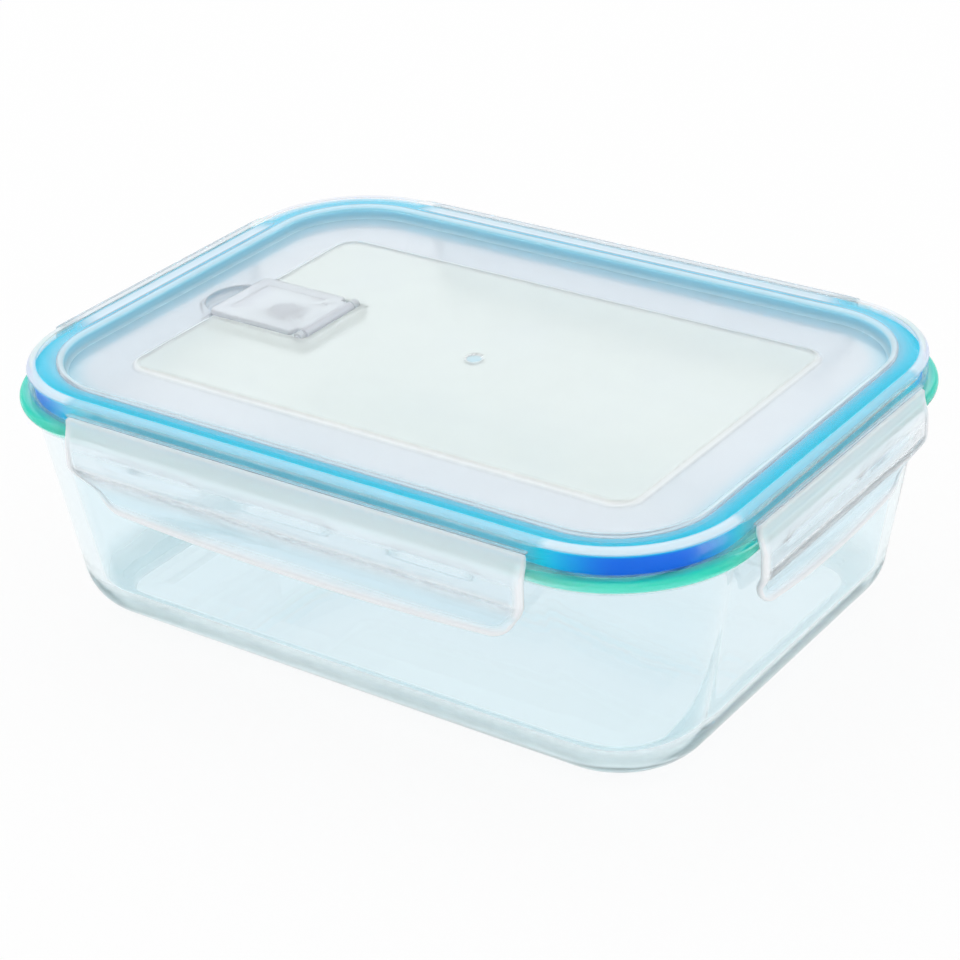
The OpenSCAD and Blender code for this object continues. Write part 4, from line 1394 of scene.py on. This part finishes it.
class CONTAINER_OT_vent(bpy.types.Operator):
    """Vent flap with its hinge barrel and pins, and the soft plug in its boss"""

    bl_idname = "container.vent"
    bl_label = "Steam vent"

    def execute(self, context):
        scene = context.scene
        vent = scene.container_vent
        shape = Shape()
        plate = self.plate(vent)
        rise = ramp(plate[..., 2], vent.flap_z0, vent.flap_z0 + 0.5 * MM)
        shape.wrap(plate, veil=between(SHEET_VEIL, VENT_VEIL, rise), tone=VENT_TONE)
        bars = ((vent.barrel_r, vent.barrel_y, 0.3 * MM), (vent.pin_r, vent.pin_y, 0.2 * MM))
        for radius, end, soft in bars:
            bar = rod((vent.axis_x, vent.axis_z) + radius * circle(32), -end, end, soft)
            shape.wrap(bar[..., [0, 2, 1]], veil=VENT_VEIL, tone=VENT_TONE)
        put(shape.build("vent_flap_moulding", lid_material(scene)), "vent", "lid_plastic", "vent_flap")
        plug = Shape()
        plug.wrap(self.plug(vent))
        material = finished("milky_silicone", plug_finish, scene.container_finish)
        put(plug.build("vent_plug_silicone", material), "vent", "vent_silicone", "vent_seal")
        return {"FINISHED"}

    @staticmethod
    def plate(vent):
        """The vent flap in rows round the boss's centre: top with its frame, round edge, underside and boss.

        The reach along a ray is the longer of the plate's and the tongue's boxes, with round corners.
        """
        way = circle(240)
        box_power, join_power = 22, 50
        soft, ridge, support, gap = 0.55 * MM, 0.2 * MM, 0.1 * MM, 0.05 * MM
        inside, outside = 0.97, 1.08

        def outline(margin):
            def box(back, front, side):
                long = np.where(way[:, 0] > 0, front + margin, back + margin)
                return box_reach(way, long, side + margin, box_power)

            plate = box(vent.x - vent.flap_x0, vent.flap_x1 - vent.x, vent.flap_y)
            tongue = box(vent.boss_r, vent.axis_x - vent.x, vent.barrel_y - ridge)
            return longer(plate, tongue, join_power)

        edge, inset = outline(0), outline(-soft)
        foot, slope, frame = (outline(-vent.frame_w - soft * t) for t in (1, 0.5, 0))
        low, top = vent.flap_z0, vent.flap_z1
        sunk, end = top - vent.frame_d, vent.boss_z
        boss, bore = vent.boss_r, vent.stem_r + gap
        rows = [(0, sunk), (foot * 0.5, sunk), (foot, sunk), (slope, (sunk + top) / 2), (frame, top)]
        rows += [(inset * inside, top)]
        rows += over_edge(inset, top, edge, top - soft)
        rows += into_corner(edge, low + soft, inset, low)
        rows += [(inset * inside, low), (boss * outside, low), (boss, low - ridge), (boss, end + ridge)]
        rows += [(boss - ridge, end), (bore + support, end), (bore, end + support), (bore, low - gap)]
        rows += [(0, low - gap)]
        return star(vent.x, way, rows)

    @staticmethod
    def plug(vent):
        """The plug turned about its axis: nipple in the hole, head on the well's floor, stem in the boss."""
        soft, gap = 0.3 * MM, 0.05 * MM
        low, head, end = vent.well_z + gap, vent.boss_z - gap, vent.flap_z0 - 2 * gap
        section = chain(
            [(0, vent.nipple_z)],
            arc((vent.nipple_r - soft, vent.nipple_z + soft), soft, -90, 0, 4),
            line((vent.nipple_r, vent.nipple_z + soft), (vent.nipple_r, low)),
            arc((vent.head_r - soft, low + soft), soft, -90, 0, 4),
            arc((vent.head_r - soft, head - soft), soft, 0, 90, 4),
            line((vent.stem_r, head), (vent.stem_r, end - soft + gap)),
            arc((vent.stem_r - soft, end - soft), soft, 0, 90, 4),
            [(0, end)],
        )
        way = circle(48)
        return carry(section, np.tile((vent.x, 0.0), (len(way), 1)), way)


def looked_at(tree):
    """1 for rays from the camera, a reflection or through glass, which see the background, else 0."""
    seen = ray(tree, "Camera") + ray(tree, "Glossy") + ray(tree, "Transmission")
    return tree.add("ShaderNodeMath", {"operation": "MINIMUM"}, {0: seen, 1: 1.0})


class CONTAINER_OT_stage(bpy.types.Operator):
    """Pale floor, soft studio light and the camera"""

    bl_idname = "container.stage"
    bl_label = "Stage"

    def execute(self, context):
        scene = context.scene
        stage = scene.container_stage
        self.floor(stage, scene.container_finish)
        self.world(scene, stage)
        self.lamp(stage)
        self.camera(scene, stage)
        scene.view_settings.view_transform = "Standard"
        scene.cycles.max_bounces = 32
        scene.cycles.transmission_bounces = 32
        scene.cycles.glossy_bounces = 24
        return {"FINISHED"}

    @staticmethod
    def floor(stage, finish):
        """A round floor in rings. What is seen of it is mostly white, and the rest holds the shadow."""
        reach = np.concatenate(([0], np.geomspace(stage.floor_hub, stage.floor_r, 24)))
        shape = Shape()
        shape.wrap(star(0, circle(96), [(out, stage.floor_z) for out in reach]), flip=True)
        material, tree = new_material("studio_floor")
        shade = noise(tree, scale=8.0).mix(finish.floor, dimmed(finish.floor, amount=0.985))
        matt = tree.add("ShaderNodeBsdfDiffuse", None, {"Color": shade})
        white = tree.add("ShaderNodeEmission", None, {"Strength": 1.0})
        (looked_at(tree) * stage.floor_glow).blend(matt, white).end()
        shape.build("studio_floor", material)

    @staticmethod
    def world(scene, stage):
        """Soft white light from all round, which the camera sees as plain white.

        Mirrored or through glass it is white overhead, grey-blue lower down and paler towards the horizon.
        """
        scene.world = bpy.data.worlds.new("studio")
        scene.world.use_nodes = True
        scene.world.node_tree.nodes.clear()
        tree = Wire(scene.world.node_tree)
        way = tree.add("ShaderNodeTexCoord", output="Generated")
        height = tree.add("ShaderNodeSeparateXYZ", None, {"Vector": way}, output="Z")
        horizon, haze, white = (0.90, 0.95, 0.98, 1), (0.68, 0.78, 0.84, 1), (1.0, 1.0, 1.0, 1)
        stops = [(0.0, horizon), (0.25, haze), (0.55, haze), (0.85, white)]
        sky = tree.add("ShaderNodeValToRGB", {"stops": stops}, {"Fac": height})
        seen = ray(tree, "Camera")
        shade = (looked_at(tree) - seen).mix((1.0, 1.0, 1.0), sky)
        strength = stage.world_light + seen * (1 - stage.world_light)
        glow = tree.add("ShaderNodeBackground", None, {"Color": shade, "Strength": strength})
        tree.add("ShaderNodeOutputWorld", None, {"Surface": glow})

    @staticmethod
    def lamp(stage):
        """One large soft lamp above and behind the left end, turned towards the object."""
        data = bpy.data.lights.new("key", "AREA")
        data.shape, data.size, data.energy = "DISK", stage.key_size, stage.key_power
        lamp = bpy.data.objects.new("key", data)
        lamp.location = stage.key_place
        lamp.rotation_euler = (-Vector(lamp.location)).to_track_quat("-Z", "Y").to_euler()
        bpy.context.collection.objects.link(lamp)

    @staticmethod
    def camera(scene, stage):
        """Camera at the photograph's angle: back along azimuth and elevation, then rolled on its axis."""
        a, e = stage.azimuth, stage.elevation
        back = Vector((math.sin(a) * math.cos(e), -math.cos(a) * math.cos(e), math.sin(e)))
        right = Vector((math.cos(a), math.sin(a), 0))
        up = back.cross(right)
        c, s = math.cos(stage.roll), math.sin(stage.roll)
        right, up = right * c + up * s, up * c - right * s
        data = bpy.data.cameras.new("camera")
        data.lens, data.shift_y = stage.lens, stage.shift_y
        camera = bpy.data.objects.new("camera", data)
        place = Matrix.Translation(Vector((0, 0, stage.target_z)) + back * stage.distance)
        camera.matrix_world = place @ Matrix((right, up, back)).transposed().to_4x4()
        bpy.context.collection.objects.link(camera)
        scene.camera = camera


OPERATORS = (
    CONTAINER_OT_dish,
    CONTAINER_OT_seal,
    CONTAINER_OT_lid,
    CONTAINER_OT_flaps,
    CONTAINER_OT_vent,
    CONTAINER_OT_stage,
)


class CONTAINER_PT_pieces(bpy.types.Panel):
    """Lists the container's pieces"""

    bl_label = "Glass Storage Container"
    bl_space_type = "VIEW_3D"
    bl_region_type = "UI"
    bl_category = "Container"

    def draw(self, context):
        for operator in OPERATORS:
            self.layout.operator(operator.bl_idname)


def register():
    for group in GROUPS.values():
        bpy.utils.register_class(group)
    for name, group in GROUPS.items():
        setattr(bpy.types.Scene, name, PointerProperty(type=group))
    for operator in OPERATORS:
        bpy.utils.register_class(operator)
    bpy.utils.register_class(CONTAINER_PT_pieces)


def unregister():
    bpy.utils.unregister_class(CONTAINER_PT_pieces)
    for operator in reversed(OPERATORS):
        bpy.utils.unregister_class(operator)
    for name, group in GROUPS.items():
        delattr(bpy.types.Scene, name)
        bpy.utils.unregister_class(group)


def main():
    """Builds every piece and the stage."""
    register()
    bpy.ops.container.dish()
    bpy.ops.container.seal()
    bpy.ops.container.lid()
    bpy.ops.container.flaps()
    bpy.ops.container.vent()
    bpy.ops.container.stage()


if __name__ == "__main__":
    main()
